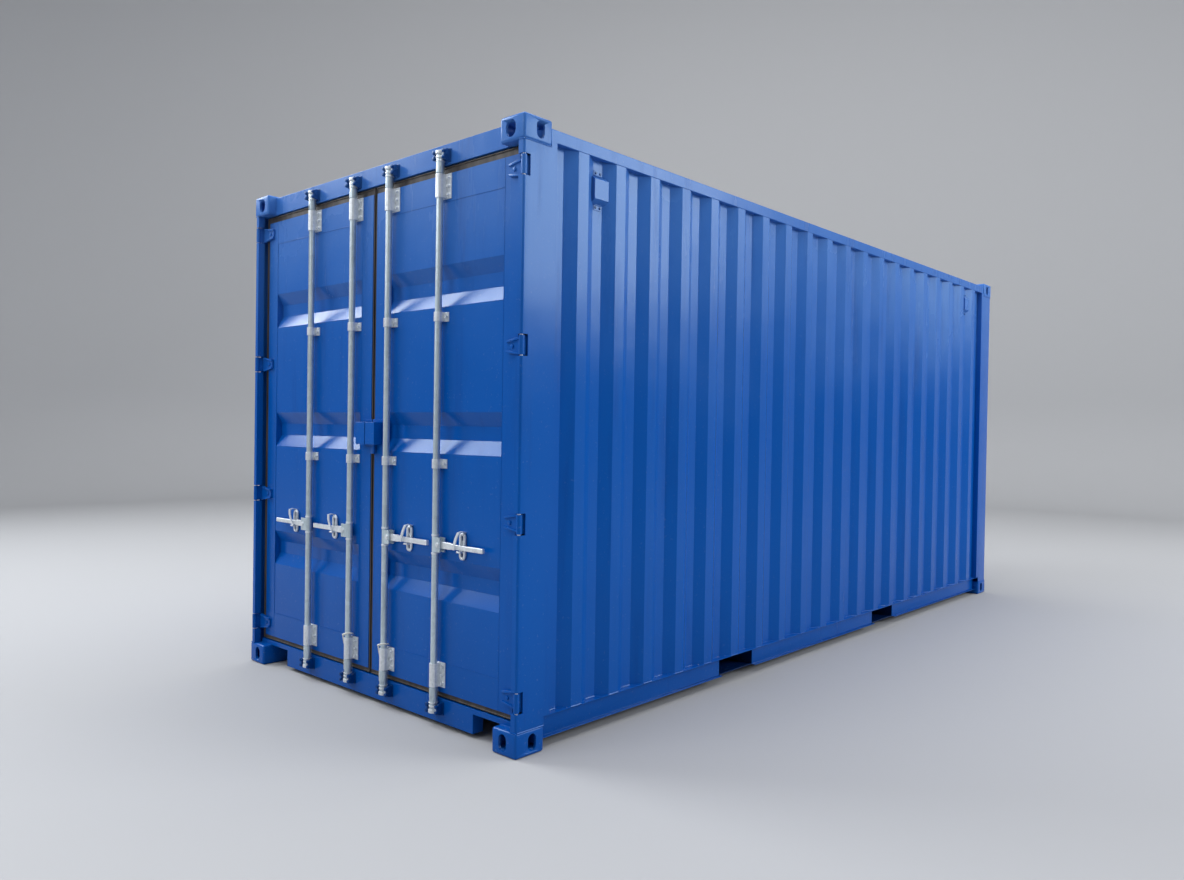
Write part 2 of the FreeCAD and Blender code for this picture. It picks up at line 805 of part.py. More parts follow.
def ventilators():
    """Hooded air vents in the second recess from each end of both side walls."""
    sunk = "(width/2 - wall_inset - fold_deep)"
    vents = []
    places = {
        "near": "(first_fold + fold_pitch - fold_inner/2)",
        "far": "(first_fold + (fold_count - 1) * fold_pitch - fold_inner/2)",
    }
    for tag, place in places.items():
        profile = prism(
            f"vent_profile_{tag}", "XZ",
            [
                (sunk, "vent_low"),
                (f"{sunk} + vent_deep", "vent_low + vent_chamfer"),
                (f"{sunk} + vent_deep", "vent_high - vent_chamfer"),
                (sunk, "vent_high"),
            ],
            depth(f"{place} - vent_wide"), depth(f"{place} + vent_wide"),
        )
        rise = "(fold_deep * (vent_wide - fold_inner) / (2*fold_slope))"
        plan = prism(
            f"vent_plan_{tag}", "XY",
            [
                (sunk, depth(f"{place} - fold_inner/2")),
                (f"{sunk} + {rise}", depth(f"{place} - vent_wide/2")),
                (f"{sunk} + vent_deep", depth(f"{place} - vent_wide/2")),
                (f"{sunk} + vent_deep", depth(f"{place} + vent_wide/2")),
                (f"{sunk} + {rise}", depth(f"{place} + vent_wide/2")),
                (sunk, depth(f"{place} + fold_inner/2")),
            ],
            "vent_low", "vent_high",
        )
        hood = document.addObject("Part::Common", f"vent_hood_{tag}")
        hood.Base = profile
        hood.Tool = plan
        flange = box(
            f"vent_flange_{tag}",
            (sunk, f"{sunk} + vent_flange_thick"),
            (depth(f"{place} - vent_flange_wide/2"), depth(f"{place} + vent_flange_wide/2")),
            ("vent_low - vent_flange", "vent_high + vent_flange"),
        )
        vent = join(f"vent_{tag}", hood, flange)
        vents += [vent, mirrored(f"vent_{tag}_left", vent)]
    node("ventilators", *vents)


# ---------------------------------------------------------------- underframe


def underframe():
    """Cross members, fork pockets, floor panels and the strip between them."""
    half = "(width/2 - rail_inset - bottom_rail_wide)"
    top = "floor_low"
    bays = []
    sill_back = "(beam_depth + beam_back + beam_wall)"
    front_back = "(length - rail_inset - rail_tube)"
    first, second = fork_centres()
    edges = [
        (sill_back, f"({first} - fork_wide/2)"),
        (f"({first} + fork_wide/2)", f"({second} - fork_wide/2)"),
        (f"({second} + fork_wide/2)", front_back),
    ]
    for bay, ((low, high), count) in enumerate(zip(edges, CROSS_MEMBER_BAYS)):
        for index in range(count):
            place = depth(f"{low} + ({high} - {low}) * {index + 1} / {count + 1}")
            section = [
                (place, "bottom_rail_low"),
                (f"{place} + member_flange", "bottom_rail_low"),
                (f"{place} + member_flange", "bottom_rail_low + member_wall"),
                (f"{place} + member_wall", "bottom_rail_low + member_wall"),
                (f"{place} + member_wall", f"{top} - member_wall"),
                (f"{place} + member_flange", f"{top} - member_wall"),
                (f"{place} + member_flange", top),
                (place, top),
            ]
            bays.append(prism(f"cross_member_{bay}_{index}", "YZ", section, f"-{half}", half))
    node("cross_members", *bays)

    plates = []
    for index, centre in enumerate(fork_centres()):
        rear = f"({centre} - fork_wide/2)"
        front = f"({centre} + fork_wide/2)"
        plates.append(
            box(
                f"fork_roof_{index}", (f"-{half}", half),
                (depth(f"{rear} - fork_wall"), depth(f"{front} + fork_wall")), (f"{top} - fork_wall", top),
            )
        )
        for tag, start in (("rear", f"{rear} - fork_wall"), ("front", front)):
            plates.append(
                box(
                    f"fork_side_{tag}_{index}", (f"-{half}", half),
                    (depth(start), depth(f"{start} + fork_wall")), ("bottom_rail_low", f"{top} - fork_wall"),
                )
            )
        strap = box(
            f"fork_strap_{index}", (f"{half} - fork_strap_long", half), (depth(rear), depth(front)),
            ("bottom_rail_low", "bottom_rail_low + fork_strap"),
        )
        plates += [strap, mirrored(f"fork_strap_left_{index}", strap)]
    node("fork_pockets", *plates)

    run = (depth(sill_back), from_front("rail_inset + rail_tube + floor_gap"))
    rise = (top, f"{top} + floor_thick")
    board = box("floor_board", ("strip_wide/2 + floor_gap", half), run, rise)
    node("floor_panels", board, mirrored("floor_board_left", board))
    node("floor_centre_strip", box("floor_strip", ("-strip_wide/2", "strip_wide/2"), run, rise))


# ---------------------------------------------------------------- locking gear


def keepers():
    """Pairs of ears on the sill and the header, one each side of every cam."""
    ears = []
    place = (depth("keeper_front"), depth("beam_depth"))
    for tag, station in STATION.items():
        spans = (
            (
                f"{station} - cam_radius - keeper_gap - keeper_thick",
                f"{station} - cam_radius - keeper_gap",
            ),
            (
                f"{station} + lobe_reach + keeper_gap",
                f"{station} + lobe_reach + keeper_gap + keeper_thick",
            ),
        )
        levels = {
            "low": ("cam_low - keeper_past_cam", "cam_low - keeper_past_cam + keeper_high"),
            "high": ("cam_high + keeper_past_cam - keeper_high", "cam_high + keeper_past_cam"),
        }
        for level, rise in levels.items():
            for number, span in enumerate(spans):
                ear = box(f"keeper_{tag}_{level}_{number}", span, place, rise)
                ears += [ear, mirrored(f"keeper_left_{tag}_{level}_{number}", ear)]
    node("keepers", *ears)


def locking_bar(tag, station):
    """Tube with a cam at each end and the fork that holds its handle."""
    centre = depth("bar_depth")
    tube = rod(f"bar_{tag}_tube", "z", station, centre, "bar_radius", "cam_low", "cam_high")
    bore = rod(
        f"bar_{tag}_bore", "z", station, centre, "bar_radius - bar_wall",
        "cam_low + cam_long", "cam_high - cam_long",
    )
    parts = [cut(f"bar_{tag}_hollow", tube, bore)]
    ends = {
        "low": ("cam_low", "cam_low + cam_long", "guide_low - guide_gap", "cam_low"),
        "high": ("cam_high - cam_long", "cam_high", "guide_high + guide_gap", "cam_high - lobe_high"),
    }
    for level, (low, high, guide_end, lobe_low) in ends.items():
        parts.append(rod(f"bar_{tag}_cam_{level}", "z", station, centre, "cam_radius", low, high))
        shank = (high, guide_end) if level == "low" else (guide_end, low)
        parts.append(rod(f"bar_{tag}_shank_{level}", "z", station, centre, "shank_radius", *shank))
        lobe = box(
            f"bar_{tag}_lobe_{level}",
            (station, f"{station} + lobe_reach"),
            (f"{centre} - lobe_wide/2", f"{centre} + lobe_wide/2"),
            (lobe_low, f"{lobe_low} + lobe_high"),
        )
        parts.append(lobe)
    low = "handle_height - hub_high/2"
    high = "handle_height + hub_high/2"
    back = "(2*bar_depth - hub_front)"
    block = box(
        f"bar_{tag}_hub_block",
        (station, f"{station} + hub_reach"),
        (depth("hub_front"), depth(back)), (low, high),
    )
    fork = box(
        f"bar_{tag}_hub_slot",
        (f"{station} + pivot_offset - handle_grip_high/2 - hub_gap", f"{station} + hub_reach + 1"),
        (depth("hub_front + hub_cheek"), depth(f"{back} - hub_cheek")),
        (f"{low} - 1", f"{high} + 1"),
    )
    parts.append(cut(f"bar_{tag}_hub", block, fork))
    parts.append(
        rod(
            f"bar_{tag}_pivot", "y", f"{station} + pivot_offset", "handle_height", "pivot_radius",
            depth("hub_front"), depth(back),
        )
    )
    return join(f"bar_{tag}", *parts)


def handle(tag, station):
    """Lever with a broad grip near the hub and a slim end beyond the catch."""
    pivot = f"({station} + pivot_offset)"
    low = depth("bar_depth - handle_thick/2")
    high = depth("bar_depth + handle_thick/2")
    grip = "handle_grip_high/2"
    tip = "handle_tip_high/2"
    outline = [
        (pivot, f"handle_height - {grip}"),
        (f"{station} + handle_grip_end - handle_grip_high", f"handle_height - {grip}"),
        (f"{station} + handle_grip_end", f"handle_height - {tip}"),
        (f"{station} + handle_reach", f"handle_height - {tip}"),
        (f"{station} + handle_reach", f"handle_height + {tip}"),
        (f"{station} + handle_grip_end", f"handle_height + {tip}"),
        (f"{station} + handle_grip_end - handle_grip_high", f"handle_height + {grip}"),
        (pivot, f"handle_height + {grip}"),
    ]
    lever = prism(f"handle_{tag}_lever", "XZ", outline, low, high)
    eye = rod(f"handle_{tag}_eye", "y", pivot, "handle_height", grip, low, high)
    bore = rod(
        f"handle_{tag}_bore", "y", pivot, "handle_height", "pivot_radius + pin_clearance",
        f"{low} - 1", f"{high} + 1",
    )
    return cut(f"handle_{tag}", join(f"handle_{tag}_solid", lever, eye), bore)


def locking_gear():
    """The four bars and their four handles."""
    for tag, station in STATION.items():
        bar = locking_bar(tag, station)
        node(f"locking_bar_right_{tag}", bar)
        node(f"locking_bar_left_{tag}", mirrored(f"bar_{tag}_mirror", bar))
        lever = handle(tag, station)
        node(f"handle_right_{tag}", lever)
        node(f"handle_left_{tag}", mirrored(f"handle_{tag}_mirror", lever))


# ---------------------------------------------------------------- door leaves


def leaf_edges():
    return "leaf_meeting", "(width/2 - leaf_hinge_edge)"


def leaf_frame():
    """Two hollow stiles with a channel at the head and the foot."""
    meeting, hinge = leaf_edges()
    thick = (depth("leaf_depth"), depth("leaf_depth + leaf_thick"))
    rise = ("leaf_low", "leaf_high")
    parts = []
    for tag, span in (
        ("meeting", (meeting, f"{meeting} + leaf_stile")),
        ("hinge", (f"{hinge} - leaf_stile", hinge)),
    ):
        parts.append(tube_beam(f"leaf_stile_{tag}", span, thick, rise, "leaf_wall", "z"))
    between = (f"{meeting} + leaf_stile", f"{hinge} - leaf_stile")
    levels = {
        "foot": ("leaf_low", "leaf_low + leaf_foot"),
        "head": ("leaf_high - leaf_head", "leaf_high"),
    }
    for tag, (low, high) in levels.items():
        section = [
            (thick[0], low),
            (thick[1], low),
            (thick[1], f"{low} + leaf_wall"),
            (f"{thick[0]} + leaf_wall", f"{low} + leaf_wall"),
            (f"{thick[0]} + leaf_wall", f"{high} - leaf_wall"),
            (thick[1], f"{high} - leaf_wall"),
            (thick[1], high),
            (thick[0], high),
        ]
        parts.append(prism(f"leaf_{tag}", "YZ", section, *between))
    return join("leaf_frame", *parts)


def leaf_panel():
    """Sheet with three level recesses across the leaf."""
    meeting, hinge = leaf_edges()
    front = depth("leaf_depth + panel_step")
    run = [(front, "leaf_low + leaf_foot")]
    for index in (-1, 0, 1):
        centre = f"(recess_middle + {index} * recess_spacing)"
        run += [
            (front, f"{centre} - recess_flat/2 - recess_slope"),
            (f"{front} + fold_deep", f"{centre} - recess_flat/2"),
            (f"{front} + fold_deep", f"{centre} + recess_flat/2"),
            (front, f"{centre} + recess_flat/2 + recess_slope"),
        ]
    run.append((front, "leaf_high - leaf_head"))
    outline = run + [(f"{across} + sheet", along) for across, along in reversed(run)]
    return prism("leaf_panel", "YZ", outline, f"{meeting} + leaf_stile", f"{hinge} - leaf_stile")


def leaf_gasket():
    """Rubber seal all round the edge of a leaf."""
    meeting, hinge = leaf_edges()
    place = (depth("gasket_front"), depth("gasket_front + gasket_thick"))
    outside = box(
        "gasket_outside",
        ("gasket_gap", "width/2 - opening_side - gasket_gap"), place,
        ("sill_high + gasket_gap", "height - fitting_high - gasket_gap"),
    )
    inside = box("gasket_inside", (meeting, hinge), place, ("leaf_low", "leaf_high"))
    return cut("gasket", outside, inside)


def hinge_blades():
    """Cranked blades from the leaf face round to the pins."""
    pin = "(width/2 - pin_inset)"
    blades = []
    for index in HINGES:
        centre = hinge_height(index)
        low = f"{centre} - hinge_high/2"
        high = f"{centre} + hinge_high/2"
        plan = [
            (pin, depth("pin_inset")),
            (pin, depth("leaf_depth")),
            (f"{pin} - blade_reach", depth("leaf_depth")),
            (f"{pin} - blade_reach", depth("leaf_depth - blade_thick")),
            (f"{pin} - blade_thick", depth("leaf_depth - blade_thick")),
            (f"{pin} - blade_thick", depth("pin_inset")),
        ]
        crank = prism(f"blade_crank_{index}", "XY", plan, low, high)
        knuckle = rod(f"blade_knuckle_{index}", "z", pin, depth("pin_inset"), "knuckle_radius", low, high)
        face = [
            (f"{pin} + knuckle_radius + 1", low),
            (f"{pin} + knuckle_radius + 1", high),
            (f"{pin} - 2*knuckle_radius", high),
            (f"{pin} - blade_reach - 1", f"{centre} + blade_tip_high/2"),
            (f"{pin} - blade_reach - 1", f"{centre} - blade_tip_high/2"),
            (f"{pin} - 2*knuckle_radius", low),
        ]
        taper = prism(f"blade_taper_{index}", "XZ", face, depth("0"), depth("leaf_depth + 1"))
        shape = document.addObject("Part::Common", f"blade_shape_{index}")
        shape.Base = join(f"blade_solid_{index}", crank, knuckle)
        shape.Tool = taper
        bore = rod(
            f"blade_bore_{index}", "z", pin, depth("pin_inset"), "pin_radius + pin_clearance",
            f"{low} - 1", f"{high} + 1",
        )
        blades.append(cut(f"blade_{index}", shape, bore))
    return blades


def guide(name, station, low, high, radius, plate_wide, plate_low, plate_high, seat):
    """Bearing round a locking bar on a plate that lies on the leaf at its seat depth."""
    centre = depth("bar_depth")
    sleeve = rod(f"{name}_sleeve", "z", station, centre, radius, low, high)
    plate = box(
        f"{name}_plate",
        (f"{station} - {radius}", f"{station} + {plate_wide}"),
        (depth(f"{seat} - guide_plate_thick"), depth(seat)), (plate_low, plate_high),
    )
    saddle = box(
        f"{name}_saddle",
        (f"{station} - {radius}", f"{station} + {radius}"),
        (centre, depth(seat)), (low, high),
    )
    bore = rod(
        f"{name}_bore", "z", station, centre, "bar_radius + guide_clearance", f"{low} - 1", f"{high} + 1"
    )
    return cut(name, join(f"{name}_solid", sleeve, plate, saddle), bore)


def bar_guides(side, sign):
    """A long guide near each end of a bar and two short clips between them."""
    guides = []
    for name, distance in STATION.items():
        tag = f"{side}_{name}"
        station = f"({sign}{distance})"
        long_guides = {
            "foot": ("guide_low", "guide_low + guide_long"),
            "head": ("guide_high - guide_long", "guide_high"),
        }
        for place, (low, high) in long_guides.items():
            spare = "(guide_plate_long - guide_long)/2"
            guides.append(
                guide(
                    f"guide_{tag}_{place}", station, low, high, "guide_radius", "guide_plate_wide",
                    f"{low} - {spare}", f"{high} + {spare}", "leaf_depth",
                )
            )
        for place in ("clip_first", "clip_second"):
            low = f"{place} - clip_high/2"
            high = f"{place} + clip_high/2"
            guides.append(
                guide(
                    f"{place}_{tag}", station, low, high, "clip_radius", "clip_wide", low, high,
                    "leaf_depth + panel_step",
                )
            )
    return guides


ROPE_ROUTE = (
    (-27, 14, 329),
    (-25, 40, 329),
    (0, 52.5, 334),
    (25, 41, 341),
    (27, 15, 347),
    (4, 2.2, 343),
    (-21, 7, 334),
    (-30, 17, 305),
    (-26.2, 27, 252),
    (-29, 25, 206),
    (-31.5, 24, 168),
    (-31, 26, 137),
)


def eased_path(points):
    """Straight runs joined by tangent arcs as large as the runs allow."""
    edges = []
    start = points[0]
    for before, corner, after in zip(points, points[1:], points[2:]):
        back = (before - corner).normalize()
        onward = (after - corner).normalize()
        shorter = min(before.distanceToPoint(corner), after.distanceToPoint(corner))
        reach = 0.45 * shorter
        half_turn = (math.pi - back.getAngle(onward)) / 2
        radius = reach / math.tan(half_turn)
        print(f"rope bend radius {radius:.0f}")
        first = corner + back * reach
        last = corner + onward * reach
        inward = (back + onward).normalize()
        middle = corner + inward * (radius / math.cos(half_turn) - radius)
        edges.append(Part.LineSegment(start, first).toShape())
        edges.append(Part.Arc(first, middle, last).toShape())
        start = last
    edges.append(Part.LineSegment(start, points[-1]).toShape())
    return Part.Wire(edges)


def tie_rope(side, station):
    """Rope knotted round a bar above its lower guide, its tail hanging beside the guide."""
    origin = Vector(amount(station), amount(depth("0")), 0)
    points = [origin + Vector(*place) for place in ROPE_ROUTE]
    path = eased_path(points)
    radius = amount("rope_radius")
    section = Part.Wire(Part.makeCircle(radius, points[0], points[1] - points[0]))
    solid = path.makePipeShell([section], True, False)
    expected = math.pi * radius**2 * path.Length
    if abs(solid.Volume - expected) > 0.01 * expected:
        raise RuntimeError(f"rope volume {solid.Volume:.0f}, expected {expected:.0f}")
    print(f"rope length {path.Length:.0f}")
    knot = Part.makeSphere(amount("knot_radius"), points[0])
    rope = document.addObject("Part::Feature", f"tie_rope_{side}_solid")
    rope.Shape = solid.fuse(knot)
    return rope


def handle_catches():
    """Plate, shelf and hooked arm that keep each handle against the leaf."""
    catches = []
    for tag, station in STATION.items():
        near = f"({station} + catch_start)"
        far = f"({near} + catch_wide)"
        back = depth("leaf_depth + panel_step")
        plate = box(
            f"catch_{tag}_plate", (near, far), (depth("leaf_depth - catch_plate"), back),
            ("catch_low", "catch_high"),
        )
        shelf_top = "(handle_height - handle_tip_high/2 - handle_gap)"
        shelf = box(
            f"catch_{tag}_shelf", (near, far), (depth("bar_depth - handle_thick/2"), back),
            (f"{shelf_top} - catch_shelf", shelf_top),
        )
        arm = box(
            f"catch_{tag}_arm", (f"{far} - catch_arm", far), (depth("catch_hook_front"), back),
            ("catch_high - catch_arm", "catch_high"),
        )
        hook = prism(
            f"catch_{tag}_hook", "XZ",
            [
                (f"{far} - catch_arm", "catch_high"),
                (near, "catch_hook_low + catch_arm"),
                (near, "catch_hook_low"),
                (f"{near} + catch_arm", "catch_hook_low"),
                (far, "catch_high - catch_arm"),
                (far, "catch_high"),
            ],
            depth("catch_hook_front"), depth("catch_hook_front + catch_hook_thick"),
        )
        catches.append(join(f"catch_{tag}", plate, shelf, arm, hook))
    return catches


def lock_box():
    """Half of the open-bottomed housing that covers a padlock."""
    outside = box(
        "lock_outside", ("lock_gap", "lock_half"), (depth("lock_front"), depth("leaf_depth")),
        ("lock_low", "lock_high"),
    )
    inside = box(
        "lock_inside", ("lock_gap - 1", "lock_half - lock_wall"),
        (depth("lock_front + lock_wall"), depth("leaf_depth - lock_wall")),
        ("lock_low - 1", "lock_high - lock_wall"),
    )
    return cut("lock_half_box", outside, inside)


def door_leaves():
    """Right leaf and its mirrored twin, each with its fixed ironwork."""
    pieces = {
        "door_frame": [leaf_frame()],
        "door_panel": [leaf_panel()],
        "door_gasket": [leaf_gasket()],
        "hinge_blades": hinge_blades(),
        "handle_catches": handle_catches(),
        "lock_box": [lock_box()],
    }
    for name, solids in pieces.items():
        node(f"{name}_right", *solids)
        twins = [mirrored(f"{name}_twin_{index}", solid) for index, solid in enumerate(solids)]
        node(f"{name}_left", *twins)
    for side, sign in (("right", "+"), ("left", "-")):
        node(f"bar_guides_{side}", *bar_guides(side, sign))
        node(f"tie_rope_{side}", tie_rope(side, f"({sign}bar_inner)"))


# ---------------------------------------------------------------- build and write


def check_and_write():
    """Stop on any failed object, then write each sub-part to its own file."""
    document.recompute()
    for item in document.Objects:
        if {"Invalid", "Error"} & set(item.State):
            raise RuntimeError(f"{item.Name} is in state {item.State}")
    os.makedirs("parts", exist_ok=True)
    for item in nodes:
        shape = item.Shape
        if shape.isNull() or not shape.isValid() or not shape.Solids:
            raise RuntimeError(f"{item.Label} has no valid solid")
        shape.exportStep(os.path.join("parts", f"{item.Label}.step"))
        print(f"{item.Label}: {len(shape.Solids)} solid(s), {shape.Volume / 1e6:.2f} litres")


corner_fittings()
rear_post()
front_post()
hinge_pins()
door_header()
door_sill()
side_rails()
front_rails()
side_walls()
front_wall()
roof()
ventilators()
underframe()
keepers()
locking_gear()
door_leaves()
check_and_write()
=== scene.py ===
"""Looks of the twenty-foot container: paint, bare steel, rubber, rope and small ironwork."""

import json
import math

import bmesh
import bpy
from mathutils import Euler, Matrix, Vector


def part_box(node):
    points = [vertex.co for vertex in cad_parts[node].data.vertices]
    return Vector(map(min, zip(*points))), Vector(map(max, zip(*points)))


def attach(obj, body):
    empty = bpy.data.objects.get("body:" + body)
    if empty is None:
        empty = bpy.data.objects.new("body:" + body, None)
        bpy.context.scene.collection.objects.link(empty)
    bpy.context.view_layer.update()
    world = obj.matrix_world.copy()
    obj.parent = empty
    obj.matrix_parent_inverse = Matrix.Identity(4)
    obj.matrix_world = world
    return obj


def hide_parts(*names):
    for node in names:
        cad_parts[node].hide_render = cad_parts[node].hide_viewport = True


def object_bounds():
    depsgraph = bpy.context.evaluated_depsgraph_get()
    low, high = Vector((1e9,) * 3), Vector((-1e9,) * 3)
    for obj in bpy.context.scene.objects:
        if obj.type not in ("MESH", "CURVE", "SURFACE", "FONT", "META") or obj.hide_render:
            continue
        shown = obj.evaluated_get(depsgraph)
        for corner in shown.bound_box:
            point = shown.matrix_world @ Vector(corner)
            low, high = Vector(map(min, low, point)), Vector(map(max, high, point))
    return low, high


bl_info = {
    "name": "Shipping container looks",
    "version": (1, 0, 0),
    "blender": (4, 5, 0),
    "location": "3D View > Sidebar > Container",
    "description": "Finishes a container frame with paint, ironwork, rubber and rope",
    "category": "Object",
}

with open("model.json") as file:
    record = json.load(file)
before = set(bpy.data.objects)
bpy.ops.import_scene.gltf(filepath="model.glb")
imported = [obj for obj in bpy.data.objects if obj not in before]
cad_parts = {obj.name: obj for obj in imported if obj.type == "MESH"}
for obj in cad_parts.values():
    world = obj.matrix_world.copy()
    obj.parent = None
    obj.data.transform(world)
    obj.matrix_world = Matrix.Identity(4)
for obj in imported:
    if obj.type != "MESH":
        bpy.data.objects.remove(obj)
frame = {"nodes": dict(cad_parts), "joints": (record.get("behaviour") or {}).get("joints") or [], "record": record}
CAD_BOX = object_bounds()
SIDES = {"right": 1, "left": -1}


# ------------------------------------------------------------------ settings


def colour_value(name, description, default):
    return bpy.props.FloatVectorProperty(
        name=name, description=description, default=default, subtype="COLOR", min=0, max=1,
    )


def length_value(name, description, default, low, high):
    return bpy.props.FloatProperty(
        name=name, description=description, default=default, min=low, max=high, unit="LENGTH",
    )


class ContainerLooks(bpy.types.PropertyGroup):
    """Sizes and colours of the container's finish."""

    paint: colour_value("Paint", "Colour of the sound paint", (0.0010, 0.084, 0.385))
    # Top sheen: the colour that the paint is paled to near the roof, a painted sheen for reflected light.
    top_sheen: colour_value("Faded paint", "Colour the paint is paled to near the roof, a painted sheen", (0.075, 0.200, 0.520))
    deep: colour_value("Deep paint", "Colour of the paint in shaded grime", (0.0006, 0.034, 0.200))
    zinc: colour_value("Zinc", "Colour of the galvanised steel", (0.80, 0.84, 0.88))
    bar: colour_value("Bar steel", "Colour of the locking bars", (0.60, 0.70, 0.75))
    rubber: colour_value("Rubber", "Colour of the door seals", (0.016, 0.012, 0.010))
    ease: length_value("Edge ease", "Rounding of sheared steel edges", 0.0015, 0.0002, 0.005)
    cast_ease: length_value("Casting ease", "Rounding of cast edges", 0.012, 0.0005, 0.013)
    post_ease: length_value(
        "Post bend", "Bend radius of the pressed corner posts", 0.011, 0.002, 0.012
    )
    bolt: length_value("Bolt head", "Radius of a guide bolt's head", 0.0085, 0.003, 0.02)
    rivet: length_value("Rivet", "Radius of a ventilator rivet's head", 0.005, 0.002, 0.01)
    weld: length_value("Weld", "Radius of a weld bead", 0.003, 0.001, 0.006)


class StageLooks(bpy.types.PropertyGroup):
    """Camera, lamps and backdrop of the studio."""

    place: bpy.props.FloatVectorProperty(
        name="Camera place", description="Where the camera stands", default=(4.1298, -5.7673, 1.4913),
        subtype="TRANSLATION",
    )
    turn: bpy.props.FloatVectorProperty(
        name="Camera turn", description="Camera rotation about X, Y and Z",
        default=(math.radians(89.27), math.radians(-0.886), math.radians(42.16)), subtype="EULER",
    )
    lens: bpy.props.FloatProperty(
        name="Lens", description="Focal length on a 36 mm wide sensor", default=27.23, min=10,
        max=200, unit="CAMERA",
    )
    grey: colour_value("Backdrop", "Colour of floor and backdrop", (0.375, 0.380, 0.392))
    reach: length_value("Backdrop reach", "Distance of the backdrop from the middle", 15.5, 8, 60)


def looks():
    return bpy.context.scene.container_looks


def studio():
    return bpy.context.scene.stage_looks


# ------------------------------------------------------------------ reading the frame


def node_object(name):
    return frame["nodes"][name]


def nodes_like(*starts):
    return sorted(name for name in frame["nodes"] if name.startswith(starts))


def body_name(node):
    for body, members in frame["record"]["behaviour"]["bodies"].items():
        if node in members:
            return body
    raise RuntimeError(f"{node} is on no body")


def joint_place(name):
    for joint in frame["joints"]:
        if joint["name"] == name:
            return Vector(joint["pos_m"])
    raise RuntimeError(f"there is no joint named {name}")


def merged(node):
    """bmesh copy of a node with its loose triangles merged and its flat faces made whole."""
    mesh = bmesh.new()
    mesh.from_mesh(node_object(node).data)
    bmesh.ops.remove_doubles(mesh, verts=mesh.verts, dist=2e-5)
    bmesh.ops.dissolve_limit(
        mesh, angle_limit=math.radians(1.5), verts=mesh.verts, edges=mesh.edges
    )
    return mesh


def islands(node):
    """Lowest and highest corner of every loose solid of a node."""
    mesh = bmesh.new()
    mesh.from_mesh(node_object(node).data)
    bmesh.ops.remove_doubles(mesh, verts=mesh.verts, dist=2e-5)
    left = set(mesh.verts)
    boxes = []
    while left:
        stack = [left.pop()]
        low, high = stack[0].co.copy(), stack[0].co.copy()
        while stack:
            vert = stack.pop()
            low = Vector(map(min, low, vert.co))
            high = Vector(map(max, high, vert.co))
            for edge in vert.link_edges:
                other = edge.other_vert(vert)
                if other in left:
                    left.remove(other)
                    stack.append(other)
        boxes.append((low, high))
    mesh.free()
    return sorted(boxes, key=lambda pair: tuple(pair[0]))


# ------------------------------------------------------------------ making pieces


def new_piece(name, mesh_data, material):
    piece = bpy.data.objects.new(name, mesh_data)
    bpy.context.scene.collection.objects.link(piece)
    piece.data.materials.clear()
    piece.data.materials.append(material)
    return piece


def mesh_piece(name, mesh, material, smooth_angle=35.0):
    """Object from a bmesh, smooth but for edges sharper than the angle."""
    bmesh.ops.recalc_face_normals(mesh, faces=mesh.faces)
    data = bpy.data.meshes.new(name)
    mesh.to_mesh(data)
    mesh.free()
    for polygon in data.polygons:
        polygon.use_smooth = True
    data.set_sharp_from_angle(angle=math.radians(smooth_angle))
    return new_piece(name, data, material)


def baked(piece):
    """The piece with its modifiers turned into a plain mesh."""
    depsgraph = bpy.context.evaluated_depsgraph_get()
    data = bpy.data.meshes.new_from_object(
        piece.evaluated_get(depsgraph), preserve_all_data_layers=True, depsgraph=depsgraph
    )
    piece.modifiers.clear()
    piece.data = data
    return piece


def eased_copy(node, width, material, segments=2, angle=30.0, corner=None):
    """Copy of a node with rounded edges, standing for it; a corner is a vertical edge to bend."""
    mesh = merged(node)
    if corner is not None:
        place, radius = corner
        bent = [
            edge for edge in mesh.edges
            if all((vert.co.xy - place.xy).length < 0.0005 for vert in edge.verts)
            and edge.calc_length() > 0.05
        ]
        ease_edges(mesh, bent, radius, 5)
    piece = mesh_piece(f"{node}_eased", mesh, material, angle)
    bevel = piece.modifiers.new("ease", "BEVEL")
    bevel.width = width
    bevel.segments = segments
    bevel.limit_method = "ANGLE"
    bevel.angle_limit = math.radians(angle)
    bevel.harden_normals = True
    bevel.use_clamp_overlap = True
    bevel.miter_outer = "MITER_ARC"
    baked(piece)
    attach(piece, body_name(node))
    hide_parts(node)
    return piece


def ease_edges(mesh, edges, width, segments=2):
    """Round some edges of a bmesh, always in the same order."""
    mesh.edges.index_update()
    chosen = sorted(edges, key=lambda edge: edge.index)
    bmesh.ops.bevel(
        mesh, geom=chosen, offset=width, segments=segments, profile=0.5, affect="EDGES",
        clamp_overlap=True,
    )


def join_rows(mesh, rows, around=False):
    """Skin rows of points, each a closed ring; the last row may meet the first."""
    ahead = rows[1:] + (rows[:1] if around else [])
    for first, second in zip(rows, ahead):
        for index in range(len(first)):
            after = (index + 1) % len(first)
            mesh.faces.new((first[index], first[after], second[after], second[index]))


def cap_ends(mesh, rows):
    mesh.faces.new(list(reversed(rows[0])))
    mesh.faces.new(rows[-1])


def add_box(mesh, low, high, ease=0.0):
    """Block between two corners added to a bmesh, with its edges eased."""
    low, high = Vector(low), Vector(high)
    middle = (low + high) / 2
    size = high - low
    made = bmesh.ops.create_cube(
        mesh, size=1.0, matrix=Matrix.Translation(middle) @ Matrix.Diagonal((*size, 1.0))
    )
    if ease:
        ease_edges(mesh, {edge for vert in made["verts"] for edge in vert.link_edges}, ease)


